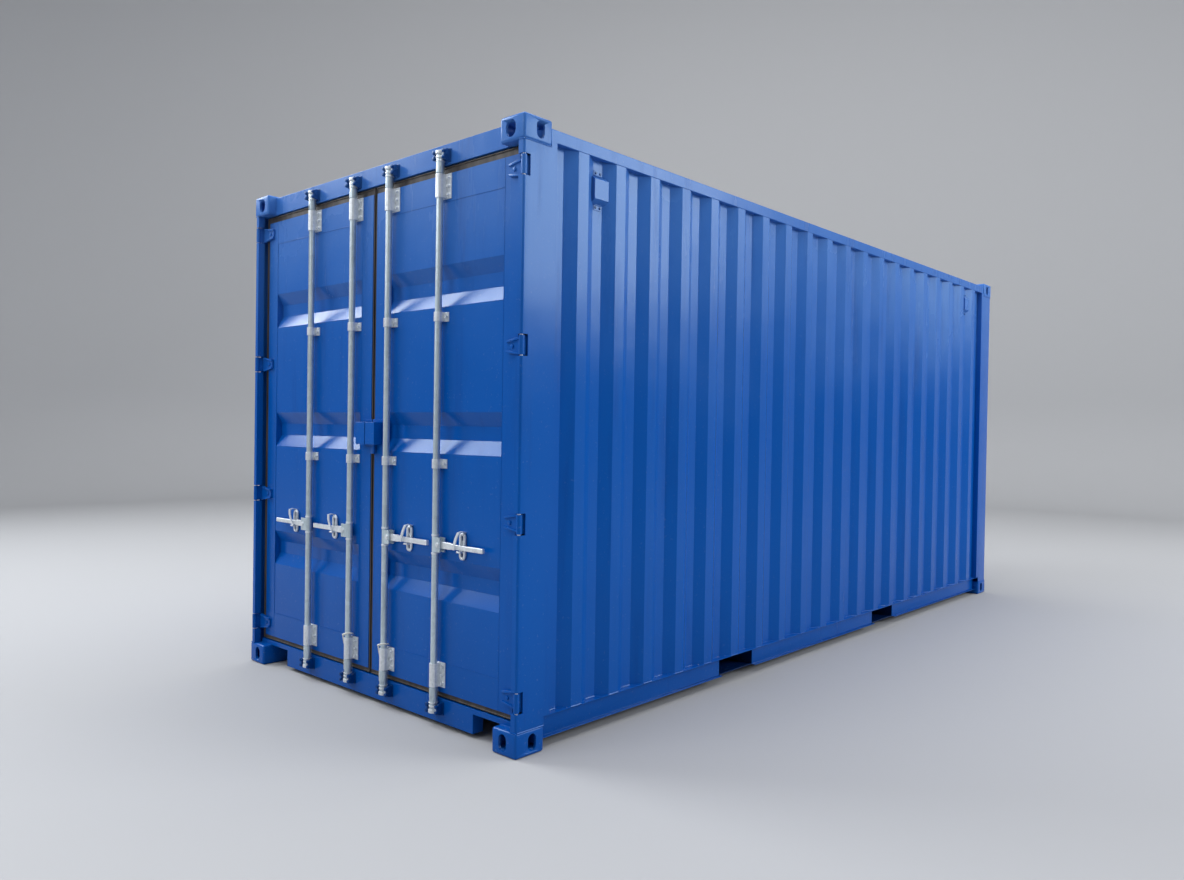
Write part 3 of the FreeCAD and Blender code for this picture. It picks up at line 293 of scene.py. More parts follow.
def add_rod(mesh, start, end, radius, sides=20, ease=0.0):
    """Round bar between two points added to a bmesh."""
    start, end = Vector(start), Vector(end)
    along = end - start
    turn = along.to_track_quat("Z", "Y").to_matrix().to_4x4()
    matrix = Matrix.Translation((start + end) / 2) @ turn
    made = bmesh.ops.create_cone(
        mesh, cap_ends=True, segments=sides, radius1=radius, radius2=radius, depth=along.length,
        matrix=matrix,
    )
    if ease:
        rims = [
            edge for edge in {e for vert in made["verts"] for e in vert.link_edges}
            if len(edge.link_faces) == 2 and edge.calc_face_angle(0) > 1.2
        ]
        ease_edges(mesh, rims, ease)


def add_plate(mesh, outline, axis, low, high, ease=0.0):
    """Flat plate from an outline across one axis, between two places on it."""
    order = {"x": (1, 2, 0), "y": (0, 2, 1), "z": (0, 1, 2)}[axis]
    rings = []
    for place in (low, high):
        ring = []
        for first, second in outline:
            corner = [0.0, 0.0, 0.0]
            corner[order[0]], corner[order[1]], corner[order[2]] = first, second, place
            ring.append(mesh.verts.new(corner))
        rings.append(ring)
    faces = [mesh.faces.new(rings[0]), mesh.faces.new(list(reversed(rings[1])))]
    count = len(outline)
    for index in range(count):
        after = (index + 1) % count
        faces.append(
            mesh.faces.new((rings[0][index], rings[1][index], rings[1][after], rings[0][after]))
        )
    if ease:
        ease_edges(mesh, {edge for face in faces[:2] for edge in face.edges}, ease)


def add_ring(mesh, centre, axis, major, minor, stretch=1.0, turns=28, sides=10):
    """Closed round loop of round wire; its local second axis may be stretched."""
    turn = Vector(axis).to_track_quat("Z", "Y").to_matrix()
    rows = []
    for step in range(turns):
        angle = 2 * math.pi * step / turns
        spine = Vector((major * math.cos(angle), major * stretch * math.sin(angle), 0))
        outward = Vector((math.cos(angle), math.sin(angle), 0))
        row = []
        for side in range(sides):
            around = 2 * math.pi * side / sides
            offset = outward * (minor * math.cos(around)) + Vector((0, 0, minor * math.sin(around)))
            row.append(mesh.verts.new(Vector(centre) + turn @ (spine + offset)))
        rows.append(row)
    join_rows(mesh, rows, around=True)


def add_loop(mesh, centre, wide, straight, minor, arc=10, sides=10):
    """Upright stadium loop of round wire that lies flat against a leaf."""
    spine = []
    for step in range(2 * arc + 2):
        upper = step <= arc
        turn = math.pi * (step if upper else step - 1) / arc
        rise = straight if upper else -straight
        outward = Vector((math.cos(turn), 0, math.sin(turn)))
        spine.append((Vector((0, 0, rise)) + outward * wide, outward))
    rows = []
    for place, outward in spine:
        row = []
        for side in range(sides):
            around = 2 * math.pi * side / sides
            offset = outward * (minor * math.cos(around)) + Vector((0, minor * math.sin(around), 0))
            row.append(mesh.verts.new(Vector(centre) + place + offset))
        rows.append(row)
    join_rows(mesh, rows, around=True)


# ------------------------------------------------------------------ geometry node trees


def link(tree, source, target):
    tree.links.new(source, target)


def tree_input(tree, name, kind, default, low=None):
    socket = tree.interface.new_socket(name=name, in_out="INPUT", socket_type=kind)
    socket.default_value = default
    if low is not None:
        socket.min_value = low
    return socket


def new_tree(name):
    tree = bpy.data.node_groups.new(name, "GeometryNodeTree")
    tree.interface.new_socket(name="Geometry", in_out="INPUT", socket_type="NodeSocketGeometry")
    tree.interface.new_socket(name="Geometry", in_out="OUTPUT", socket_type="NodeSocketGeometry")
    return tree


def finish_tree(tree, geometry, given):
    """Realize, set the material and hand the geometry out."""
    realize = tree.nodes.new("GeometryNodeRealizeInstances")
    paint = tree.nodes.new("GeometryNodeSetMaterial")
    result = tree.nodes.new("NodeGroupOutput")
    link(tree, geometry, realize.inputs[0])
    link(tree, realize.outputs[0], paint.inputs["Geometry"])
    link(tree, given.outputs["Material"], paint.inputs["Material"])
    link(tree, paint.outputs[0], result.inputs[0])


def fastener_tree():
    """A head with a washer on every point, turned to face one way."""
    tree = new_tree("fastener heads")
    tree_input(tree, "Head radius", "NodeSocketFloat", 0.008, 0.0)
    tree_input(tree, "Head height", "NodeSocketFloat", 0.006, 0.0)
    tree_input(tree, "Washer radius", "NodeSocketFloat", 0.011, 0.0)
    tree_input(tree, "Sides", "NodeSocketInt", 6, 3)
    tree_input(tree, "Facing", "NodeSocketRotation", (0.0, 0.0, 0.0))
    tree.interface.new_socket(name="Material", in_out="INPUT", socket_type="NodeSocketMaterial")
    given = tree.nodes.new("NodeGroupInput")
    head = tree.nodes.new("GeometryNodeMeshCylinder")
    washer = tree.nodes.new("GeometryNodeMeshCylinder")
    washer.inputs["Vertices"].default_value = 14
    link(tree, given.outputs["Sides"], head.inputs["Vertices"])
    link(tree, given.outputs["Head radius"], head.inputs["Radius"])
    link(tree, given.outputs["Head height"], head.inputs["Depth"])
    link(tree, given.outputs["Washer radius"], washer.inputs["Radius"])
    thin = times(tree, given.outputs["Head height"], 0.3)
    half = times(tree, given.outputs["Head height"], 0.5)
    link(tree, thin, washer.inputs["Depth"])
    rise = tree.nodes.new("ShaderNodeCombineXYZ")
    link(tree, half, rise.inputs["Z"])
    lifted = tree.nodes.new("GeometryNodeTransform")
    link(tree, head.outputs["Mesh"], lifted.inputs["Geometry"])
    link(tree, rise.outputs[0], lifted.inputs["Translation"])
    both = tree.nodes.new("GeometryNodeJoinGeometry")
    link(tree, lifted.outputs[0], both.inputs[0])
    link(tree, washer.outputs["Mesh"], both.inputs[0])
    scatter = tree.nodes.new("GeometryNodeInstanceOnPoints")
    link(tree, given.outputs["Geometry"], scatter.inputs["Points"])
    link(tree, both.outputs[0], scatter.inputs["Instance"])
    link(tree, given.outputs["Facing"], scatter.inputs["Rotation"])
    finish_tree(tree, scatter.outputs[0], given)
    return tree


def bead_tree():
    """A slightly uneven weld bead along every edge."""
    tree = new_tree("weld beads")
    tree_input(tree, "Radius", "NodeSocketFloat", 0.003, 0.0)
    tree_input(tree, "Step", "NodeSocketFloat", 0.006, 0.0005)
    tree_input(tree, "Unevenness", "NodeSocketFloat", 0.0012, 0.0)
    tree.interface.new_socket(name="Material", in_out="INPUT", socket_type="NodeSocketMaterial")
    given = tree.nodes.new("NodeGroupInput")
    line = tree.nodes.new("GeometryNodeMeshToCurve")
    again = tree.nodes.new("GeometryNodeResampleCurve")
    again.mode = "LENGTH"
    wander = tree.nodes.new("ShaderNodeTexNoise")
    wander.inputs["Scale"].default_value = 160.0
    away = tree.nodes.new("ShaderNodeVectorMath")
    away.operation = "SUBTRACT"
    away.inputs[1].default_value = (0.5, 0.5, 0.5)
    scaled = tree.nodes.new("ShaderNodeVectorMath")
    scaled.operation = "SCALE"
    shift = tree.nodes.new("GeometryNodeSetPosition")
    round_wire = tree.nodes.new("GeometryNodeCurvePrimitiveCircle")
    round_wire.inputs["Resolution"].default_value = 6
    sweep = tree.nodes.new("GeometryNodeCurveToMesh")
    sweep.inputs["Fill Caps"].default_value = True
    link(tree, given.outputs["Geometry"], line.inputs[0])
    link(tree, line.outputs[0], again.inputs["Curve"])
    link(tree, given.outputs["Step"], again.inputs["Length"])
    link(tree, wander.outputs["Color"], away.inputs[0])
    link(tree, away.outputs[0], scaled.inputs[0])
    link(tree, given.outputs["Unevenness"], scaled.inputs["Scale"])
    link(tree, again.outputs[0], shift.inputs["Geometry"])
    link(tree, scaled.outputs[0], shift.inputs["Offset"])
    link(tree, given.outputs["Radius"], round_wire.inputs["Radius"])
    link(tree, shift.outputs[0], sweep.inputs["Curve"])
    link(tree, round_wire.outputs[0], sweep.inputs["Profile Curve"])
    finish_tree(tree, sweep.outputs[0], given)
    return tree


def shared_tree(name, maker):
    return bpy.data.node_groups.get(name) or maker()


def grown(name, body, data, tree, values):
    """Plain mesh that a node tree makes from points or edges, riding on a body."""
    piece = bpy.data.objects.new(name, data)
    bpy.context.scene.collection.objects.link(piece)
    modifier = piece.modifiers.new("nodes", "NODES")
    modifier.node_group = tree
    sockets = {
        item.name: item.identifier for item in tree.interface.items_tree
        if item.in_out == "INPUT" and item.socket_type != "NodeSocketGeometry"
    }
    for label, value in values.items():
        modifier[sockets[label]] = value
    baked(piece)
    if not piece.data.polygons:
        raise RuntimeError(f"{name} came out empty")
    for polygon in piece.data.polygons:
        polygon.use_smooth = True
    piece.data.set_sharp_from_angle(angle=math.radians(40))
    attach(piece, body)
    return piece


def heads(name, body, points, facing, radius, height, washer, sides, material):
    """Bolt or rivet heads at points, facing along a direction."""
    data = bpy.data.meshes.new(name)
    data.from_pydata([tuple(point) for point in points], [], [])
    turn = Vector(facing).to_track_quat("Z", "Y").to_euler()
    values = {
        "Head radius": radius, "Head height": height, "Washer radius": washer, "Sides": sides,
        "Facing": tuple(turn), "Material": material,
    }
    return grown(name, body, data, shared_tree("fastener heads", fastener_tree), values)


def beads(name, body, runs, radius, material):
    """Weld beads along straight runs between pairs of points."""
    corners = [tuple(point) for run in runs for point in run]
    edges = [(2 * index, 2 * index + 1) for index in range(len(runs))]
    data = bpy.data.meshes.new(name)
    data.from_pydata(corners, edges, [])
    values = {"Radius": radius, "Material": material}
    return grown(name, body, data, shared_tree("weld beads", bead_tree), values)


# ------------------------------------------------------------------ shader groups and materials


def surface_group(name, inputs):
    """New shader group for colour, roughness and height, with its ends and the object's place."""
    group = bpy.data.node_groups.new(name, "ShaderNodeTree")
    for label, default in inputs:
        kind = "NodeSocketColor" if isinstance(default, tuple) else "NodeSocketFloat"
        socket = group.interface.new_socket(name=label, in_out="INPUT", socket_type=kind)
        socket.default_value = default
    for label in ("Color", "Roughness", "Height"):
        kind = "NodeSocketColor" if label == "Color" else "NodeSocketFloat"
        group.interface.new_socket(name=label, in_out="OUTPUT", socket_type=kind)
    given = group.nodes.new("NodeGroupInput").outputs
    result = group.nodes.new("NodeGroupOutput").inputs
    place = group.nodes.new("ShaderNodeTexCoord").outputs["Object"]
    return group, given, result, place


def math_node(tree, operation, first, second=None, clamp=False):
    node = tree.nodes.new("ShaderNodeMath")
    node.operation = operation
    node.use_clamp = clamp
    for socket, value in zip(node.inputs, (first, second)):
        if value is None:
            continue
        if isinstance(value, (int, float)):
            socket.default_value = value
        else:
            link(tree, value, socket)
    return node.outputs[0]


def plus(tree, first, second):
    return math_node(tree, "ADD", first, second)


def times(tree, first, second):
    return math_node(tree, "MULTIPLY", first, second)


def ramp(tree, source, low, high):
    """Smooth step of a value from 0 at low to 1 at high."""
    node = tree.nodes.new("ShaderNodeMapRange")
    node.interpolation_type = "SMOOTHSTEP"
    link(tree, source, node.inputs["Value"])
    for name, value in (("From Min", low), ("From Max", high)):
        if isinstance(value, (int, float)):
            node.inputs[name].default_value = value
        else:
            link(tree, value, node.inputs[name])
    return node.outputs["Result"]


def blend_colour(tree, amount, first, second):
    node = tree.nodes.new("ShaderNodeMix")
    node.data_type = "RGBA"
    link(tree, amount, node.inputs["Factor"])
    for socket, value in ((node.inputs[6], first), (node.inputs[7], second)):
        if isinstance(value, tuple):
            socket.default_value = value
        else:
            link(tree, value, socket)
    return node.outputs[2]


def noise_of(tree, vector, scale, detail=4.0, rough=0.55):
    node = tree.nodes.new("ShaderNodeTexNoise")
    node.inputs["Scale"].default_value = scale
    node.inputs["Detail"].default_value = detail
    node.inputs["Roughness"].default_value = rough
    link(tree, vector, node.inputs["Vector"])
    return node.outputs["Fac"]


def stretched(tree, vector, scale):
    node = tree.nodes.new("ShaderNodeMapping")
    node.inputs["Scale"].default_value = scale
    link(tree, vector, node.inputs["Vector"])
    return node.outputs[0]


def weathering_group():
    """Colour, roughness and height of sprayed steel paint with a painted sheen that pales it towards the top,
    grime streaks, darker towards the bottom, and dust.
    """
    group, given, result, place = surface_group("weathered paint", [
        ("Paint", (0.0, 0.06, 0.3, 1)), ("Top sheen", (0.04, 0.15, 0.4, 1)),
        ("Deep", (0.0, 0.03, 0.16, 1)), ("Sheen from", 1.4), ("Sheen to", 3.4),
        ("Sheen amount", 0.6), ("Dust", 0.15),
    ])
    parts = group.nodes.new("ShaderNodeSeparateXYZ")
    link(group, place, parts.inputs[0])
    cloud = noise_of(group, place, 1.3, 5.0)
    wander = times(group, math_node(group, "SUBTRACT", cloud, 0.5), 1.1)
    height = plus(group, parts.outputs["Z"], wander)
    # Painted sheen: the colour pales towards the top to stand in for reflected light, and the roughness is raised
    # there too.
    sheen_amount = times(group, ramp(group, height, given["Sheen from"], given["Sheen to"]), given["Sheen amount"])
    colour = blend_colour(group, sheen_amount, given["Paint"], given["Top sheen"])
    grime = ramp(group, noise_of(group, stretched(group, place, (9, 9, 0.9)), 1.0, 6.0, 0.6), 0.52, 0.78)
    colour = blend_colour(group, times(group, grime, 0.35), colour, given["Deep"])
    low = ramp(group, height, 0.9, -0.1)
    colour = blend_colour(group, times(group, low, 0.25), colour, given["Deep"])
    speck = ramp(group, noise_of(group, place, 55.0, 4.0, 0.7), 0.60, 0.74)
    dusty = times(group, speck, given["Dust"])
    colour = blend_colour(group, dusty, colour, (0.30, 0.36, 0.45, 1))
    link(group, colour, result["Color"])
    matt = times(group, cloud, 0.14)
    sheen_roughness = times(group, sheen_amount, 0.10)
    rough = plus(group, plus(group, matt, 0.14), sheen_roughness)
    dirty = times(group, grime, 0.08)
    link(group, plus(group, rough, dirty), result["Roughness"])
    peel = noise_of(group, place, 240.0, 2.0)
    dents = noise_of(group, place, 3.2, 2.0, 0.4)
    relief = plus(group, times(group, peel, 0.00012), times(group, dents, 0.0035))
    link(group, relief, result["Height"])
    return group


def zinc_group():
    """Colour, roughness and height of galvanised steel with spangle and dull streaks."""
    group, given, result, place = surface_group("zinc coat", [
        ("Zinc", (0.6, 0.65, 0.7, 1)), ("Dull", (0.3, 0.34, 0.37, 1)),
        ("Spangle size", 90.0), ("Streaks", 0.4),
    ])
    cells = group.nodes.new("ShaderNodeTexVoronoi")
    link(group, place, cells.inputs["Vector"])
    link(group, given["Spangle size"], cells.inputs["Scale"])
    tone = group.nodes.new("ShaderNodeSeparateColor")
    link(group, cells.outputs["Color"], tone.inputs[0])
    patch = ramp(group, noise_of(group, stretched(group, place, (14, 14, 2.2)), 1.0, 6.0, 0.62), 0.42, 0.72)
    dull = math_node(
        group, "ADD", times(group, tone.outputs[0], 0.28),
        times(group, patch, given["Streaks"]), clamp=True,
    )
    colour = blend_colour(group, dull, given["Zinc"], given["Dull"])
    link(group, colour, result["Color"])
    link(group, plus(group, times(group, dull, 0.28), 0.30), result["Roughness"])
    link(group, times(group, noise_of(group, place, 160.0, 3.0), 0.0003), result["Height"])
    return group


def material_from(name, group_name, maker, values, metallic=0.0, specular=0.5, tint=(1, 1, 1)):
    """Material whose colour, roughness and relief come from one shader group."""
    found = bpy.data.materials.get(name)
    if found:
        return found
    material = bpy.data.materials.new(name)
    material.use_nodes = True
    tree = material.node_tree
    shader = tree.nodes["Principled BSDF"]
    group = tree.nodes.new("ShaderNodeGroup")
    group.node_tree = bpy.data.node_groups.get(group_name) or maker()
    for label, value in values.items():
        group.inputs[label].default_value = value
    bump = tree.nodes.new("ShaderNodeBump")
    bump.inputs["Strength"].default_value = 1.0
    bump.inputs["Distance"].default_value = 1.0
    link(tree, group.outputs["Color"], shader.inputs["Base Color"])
    link(tree, group.outputs["Roughness"], shader.inputs["Roughness"])
    link(tree, group.outputs["Height"], bump.inputs["Height"])
    link(tree, bump.outputs["Normal"], shader.inputs["Normal"])
    shader.inputs["Metallic"].default_value = metallic
    shader.inputs["Specular IOR Level"].default_value = specular
    shader.inputs["Specular Tint"].default_value = opaque(tint)
    return material


def opaque(colour):
    return (*colour, 1.0)


def paint(name="sprayed blue paint", sheen_amount=0.6, dust=0.12, shade_dimming=1.0):
    own = looks()
    # A shade dimming below one darkens the paint as painted shade.
    base = tuple(channel * shade_dimming for channel in own.paint)
    return material_from(
        name, "weathered paint", weathering_group,
        {
            "Paint": opaque(base), "Top sheen": opaque(own.top_sheen), "Deep": opaque(own.deep),
            "Sheen amount": sheen_amount, "Dust": dust,
        },
        specular=0.19, tint=(0.62, 0.88, 1.0),
    )


def zinc(name="galvanised steel", streaks=0.35):
    own = looks()
    return material_from(
        name, "zinc coat", zinc_group,
        {"Zinc": opaque(own.zinc), "Dull": (0.42, 0.47, 0.50, 1), "Streaks": streaks}, metallic=0.55,
    )


def bar_steel():
    own = looks()
    return material_from(
        "dull bar steel", "zinc coat", zinc_group,
        {
            "Zinc": opaque(own.bar), "Dull": (0.30, 0.37, 0.42, 1), "Spangle size": 40.0,
            "Streaks": 0.5,
        },
        metallic=0.65,
    )


def plain_group(name, tones, scale, rough, relief):
    """Maker of a two-tone grain group for rubber, rope and board."""

    def make():
        group, given, result, place = surface_group(name, [("Light", tones[0]), ("Dark", tones[1])])
        grain = noise_of(group, stretched(group, place, scale), 1.0, 8.0, 0.62)
        mask = ramp(group, grain, 0.35, 0.68)
        colour = blend_colour(group, mask, given["Light"], given["Dark"])
        link(group, colour, result["Color"])
        link(group, plus(group, times(group, grain, 0.25), rough), result["Roughness"])
        link(group, times(group, grain, relief), result["Height"])
        return group

    return make


def rubber():
    dark = opaque(looks().rubber)
    light = tuple(min(1.0, 2.6 * channel + 0.01) for channel in looks().rubber) + (1.0,)
    maker = plain_group("seal rubber grain", (light, dark), (22, 22, 3), 0.5, 0.0006)
    return material_from("seal rubber", "seal rubber grain", maker, {"Light": light, "Dark": dark})


def rope_fibre():
    tones = ((0.80, 0.80, 0.76, 1), (0.55, 0.55, 0.50, 1))
    maker = plain_group("rope fibre", tones, (300, 300, 60), 0.75, 0.0003)
    return material_from("white rope fibre", "rope fibre", maker, {"Light": tones[0], "Dark": tones[1]})


def floor_board():
    tones = ((0.30, 0.17, 0.085, 1), (0.16, 0.085, 0.045, 1))
    maker = plain_group("board grain", tones, (34, 3, 34), 0.42, 0.0006)
    return material_from("varnished board", "board grain", maker, {"Light": tones[0], "Dark": tones[1]})


# ------------------------------------------------------------------ operators: painting and easing


class PieceOperator:
    """What all the making steps share."""

    bl_options = {"REGISTER", "UNDO"}

    def execute(self, context):
        self.make()
        return {"FINISHED"}


class CONTAINER_OT_finish_nodes(PieceOperator, bpy.types.Operator):
    """Give every plain part of the frame its finish"""

    bl_idname = "container.finish_nodes"
    bl_label = "Finish frame parts"

    def make(self):
        finishes = {
            "frame_paint": paint(), "wall_paint": paint("wall paint", 0.85, 0.10),
            "roof_paint": paint("roof paint", 0.9, 0.3), "door_paint": paint("door paint", 0.6, 0.12),
            "vent_paint": paint("vent paint", 0.9, 0.2), "seal_rubber": rubber(), "rope": rope_fibre(),
            "bar_steel": bar_steel(), "galvanised_steel": zinc(), "plywood": floor_board(),
            "pin_steel": zinc("pin steel", 0.6),
        }
        # Fork pockets and cross members take paint darkened nearly to black, a painted shade for their shadowed
        # insides.
        underframe_shade_paint = paint("underframe painted shade", 0.0, 0.25, 0.10)
        for part in frame["record"]["subparts"]:
            item = node_object(part["node"])
            in_painted_shade = part["node"] in ("fork_pockets", "cross_members")
            for place in item.material_slots:
                place.material = underframe_shade_paint if in_painted_shade else finishes[part["material_slot"]]


class CONTAINER_OT_ease_castings(PieceOperator, bpy.types.Operator):
    """Round the outer edges of the cast corner fittings"""

    bl_idname = "container.ease_castings"
    bl_label = "Corner fittings"

    def make(self):
        for node in nodes_like("bottom_fittings", "top_fittings"):
            boxes = islands(node)
            mesh = merged(node)
            rims = [edge for edge in mesh.edges if any(self.on_rim(edge, pair) for pair in boxes)]
            ease_edges(mesh, rims, looks().cast_ease, 4)
            piece = mesh_piece(f"{node}_cast", mesh, paint("casting paint", 0.75, 0.30), 40)
            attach(piece, body_name(node))
            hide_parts(node)

    def on_rim(self, edge, pair, slack=0.0004):
        """Whether an edge lies along an edge of the block that the casting fills."""
        shared = 0
        for axis in range(3):
            for bound in pair:
                if all(abs(vert.co[axis] - bound[axis]) < slack for vert in edge.verts):
                    shared += 1
        return shared >= 2


class CONTAINER_OT_ease_posts(PieceOperator, bpy.types.Operator):
    """Bend the pressed corners of the four posts"""

    bl_idname = "container.ease_posts"
    bl_label = "Corner posts"

    def make(self):
        for side, sign in SIDES.items():
            for end in ("rear", "front"):
                node = f"{end}_post_{side}"
                low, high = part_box(node)
                along = low.y if end == "rear" else high.y
                corner = Vector((high.x if sign > 0 else low.x, along, 0))
                eased_copy(node, looks().ease, paint(), corner=(corner, looks().post_ease))


class CONTAINER_OT_ease_steelwork(PieceOperator, bpy.types.Operator):
    """Ease the edges of beams, rails, door frames and ironwork"""

    bl_idname = "container.ease_steelwork"
    bl_label = "Beams, rails and ironwork"

    def make(self):
        own = looks()
        beams = ("door_header", "door_sill", "top_rail", "bottom_rail", "front_top", "front_bottom")
        for node in nodes_like(*beams):
            eased_copy(node, 2 * own.ease, paint())
        for node in nodes_like("lock_box"):
            eased_copy(node, own.ease, paint())
        for node in nodes_like("hinge_blades"):
            eased_copy(node, 1.5 * own.ease, paint("blade paint", 0.6, 0.3))
        for node in nodes_like("bar_guides"):
            eased_copy(node, own.ease, zinc())
        for node in nodes_like("handle_left", "handle_right"):
            eased_copy(node, 2.5 * own.ease, zinc("handle zinc", 0.2))
        for node in nodes_like("locking_bar"):
            eased_copy(node, own.ease, bar_steel(), angle=50)


class CONTAINER_OT_weld_seams(PieceOperator, bpy.types.Operator):
    """Lay weld beads where posts, fittings, rails and door frames meet"""

    bl_idname = "container.weld_seams"
    bl_label = "Weld seams"

    def make(self):
        radius = looks().weld
        self.structure(radius)
        for side in SIDES:
            self.leaf(side, radius)

    def structure(self, radius):
        post_low, post_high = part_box("rear_post_right")
        fitting_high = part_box("bottom_fittings_door_end")[1]
        top_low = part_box("top_fittings_door_end")[0]
        header_low, header_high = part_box("door_header")
        sill_low, sill_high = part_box("door_sill")
        post_face, front_face, bend = 0.036, 0.15, 0.008
        runs = []
        for sign in SIDES.values():
            side = sign * post_high.x
            inner = sign * (post_high.x - post_face)
            for level in (fitting_high.z, top_low.z):
                runs.append(((inner, post_low.y, level), (side, post_low.y, level)))
                runs.append(((side, post_low.y + bend, level), (side, fitting_high.y, level)))
                front = -post_low.y
                runs.append(((side, front - bend, level), (side, -fitting_high.y, level)))
                runs.append(((sign * (post_high.x - front_face), front, level), (side, front, level)))
            edge = sign * header_high.x
            runs.append(((edge, header_low.y, header_low.z), (edge, header_low.y, header_high.z)))
            top = header_high.z
            runs.append(((edge, header_low.y + 0.004, top), (edge, header_high.y, top)))
            step = fitting_high.z
            runs.append(((edge, sill_low.y, step), (sign * sill_high.x, sill_low.y, step)))
        beads("frame_weld_beads", "container", runs, radius, paint())
        for side, sign in SIDES.items():
            beads(
                f"wall_weld_beads_{side}", "container", self.foot_of_folds(f"side_wall_{side}", sign),
                1.3 * radius, paint("weld paint", 0.9, 0.9),
            )

    def foot_of_folds(self, node, sign):
        """Lower edges of the outer face of a folded wall."""
        mesh = merged(node)
        foot = min(vert.co.z for vert in mesh.verts)
        runs = []
        for edge in mesh.edges:
            if any(vert.co.z > foot + 0.0005 for vert in edge.verts):
                continue
            if any(face.normal.x * sign > 0.2 for face in edge.link_faces):
                runs.append([vert.co + Vector((0, 0, 0.001)) for vert in edge.verts])
        mesh.free()
        return runs

    def leaf(self, side, radius):
        low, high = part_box(f"door_frame_{side}")
        panel_low, panel_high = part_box(f"door_panel_{side}")
        face = low.y + 0.0005
        runs = []
        for level in (panel_low.z, panel_high.z):
            runs.append(((panel_low.x, face, level), (panel_high.x, face, level)))
        for across in (panel_low.x, panel_high.x):
            runs.append(((across, face, low.z), (across, face, high.z)))
        beads(f"leaf_weld_beads_{side}", f"door_{side}", runs, 0.6 * radius, paint("door paint"))


# ------------------------------------------------------------------ operators: door ironwork


def guide_boxes(side):
    """Boxes of the long guides and of the short clips of one leaf."""
    boxes = islands(f"bar_guides_{side}")
    tall = [pair for pair in boxes if pair[1].z - pair[0].z > 0.1]
    short = [pair for pair in boxes if pair[1].z - pair[0].z <= 0.1]
    return tall, short


class CONTAINER_OT_bolt_guides(PieceOperator, bpy.types.Operator):
    """Bolt the guides and clips of the locking bars to the leaves"""

    bl_idname = "container.bolt_guides"
    bl_label = "Guide bolts"

    def make(self):
        own = looks()
        flange, spacing = 0.005, 0.042
        guide_edge, clip_edge = 0.018, 0.013
        for side in SIDES:
            tall, short = guide_boxes(side)
            points = []
            for low, high in tall:
                middle = (low.z + high.z) / 2
                for step in (-1, 0, 1):
                    points.append((high.x - guide_edge, high.y - flange, middle + step * spacing))
            for low, high in short:
                points.append((high.x - clip_edge, high.y - flange, (low.z + high.z) / 2))
            heads(
                f"guide_bolts_{side}", f"door_{side}", points, (0, -1, 0), own.bolt, 0.012,
                1.35 * own.bolt, 6, zinc(),
            )


class CONTAINER_OT_hinge_ribs(PieceOperator, bpy.types.Operator):
    """Raise the ribs and the boss on the hinge blades"""

    bl_idname = "container.hinge_ribs"
    bl_label = "Hinge blade ribs"

    def make(self):
        for side, sign in SIDES.items():
            mesh = bmesh.new()
            for low, high in islands(f"hinge_blades_{side}"):
                face = high.y - 0.010
                near = low.x if sign > 0 else high.x
                far = high.x - 0.036 if sign > 0 else low.x + 0.036
                middle = (low.z + high.z) / 2
                half = (high.z - low.z) / 2
                tip = 0.028
                for up in (-1, 1):
                    outline = [
                        (near, middle + up * tip), (far, middle + up * half),
                        (far, middle + up * (half - 0.011)), (near, middle + up * (tip - 0.011)),
                    ]
                    add_plate(mesh, outline, "y", face - 0.007, face + 0.001, 0.002)
                centre = near + sign * 0.034
                start, end = (centre, face + 0.001, middle), (centre, face - 0.005, middle)
                add_rod(mesh, start, end, 0.010, 18, 0.0015)
            piece = mesh_piece(f"hinge_ribs_{side}", mesh, paint("blade paint", 0.6, 0.3))
            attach(piece, f"door_{side}")


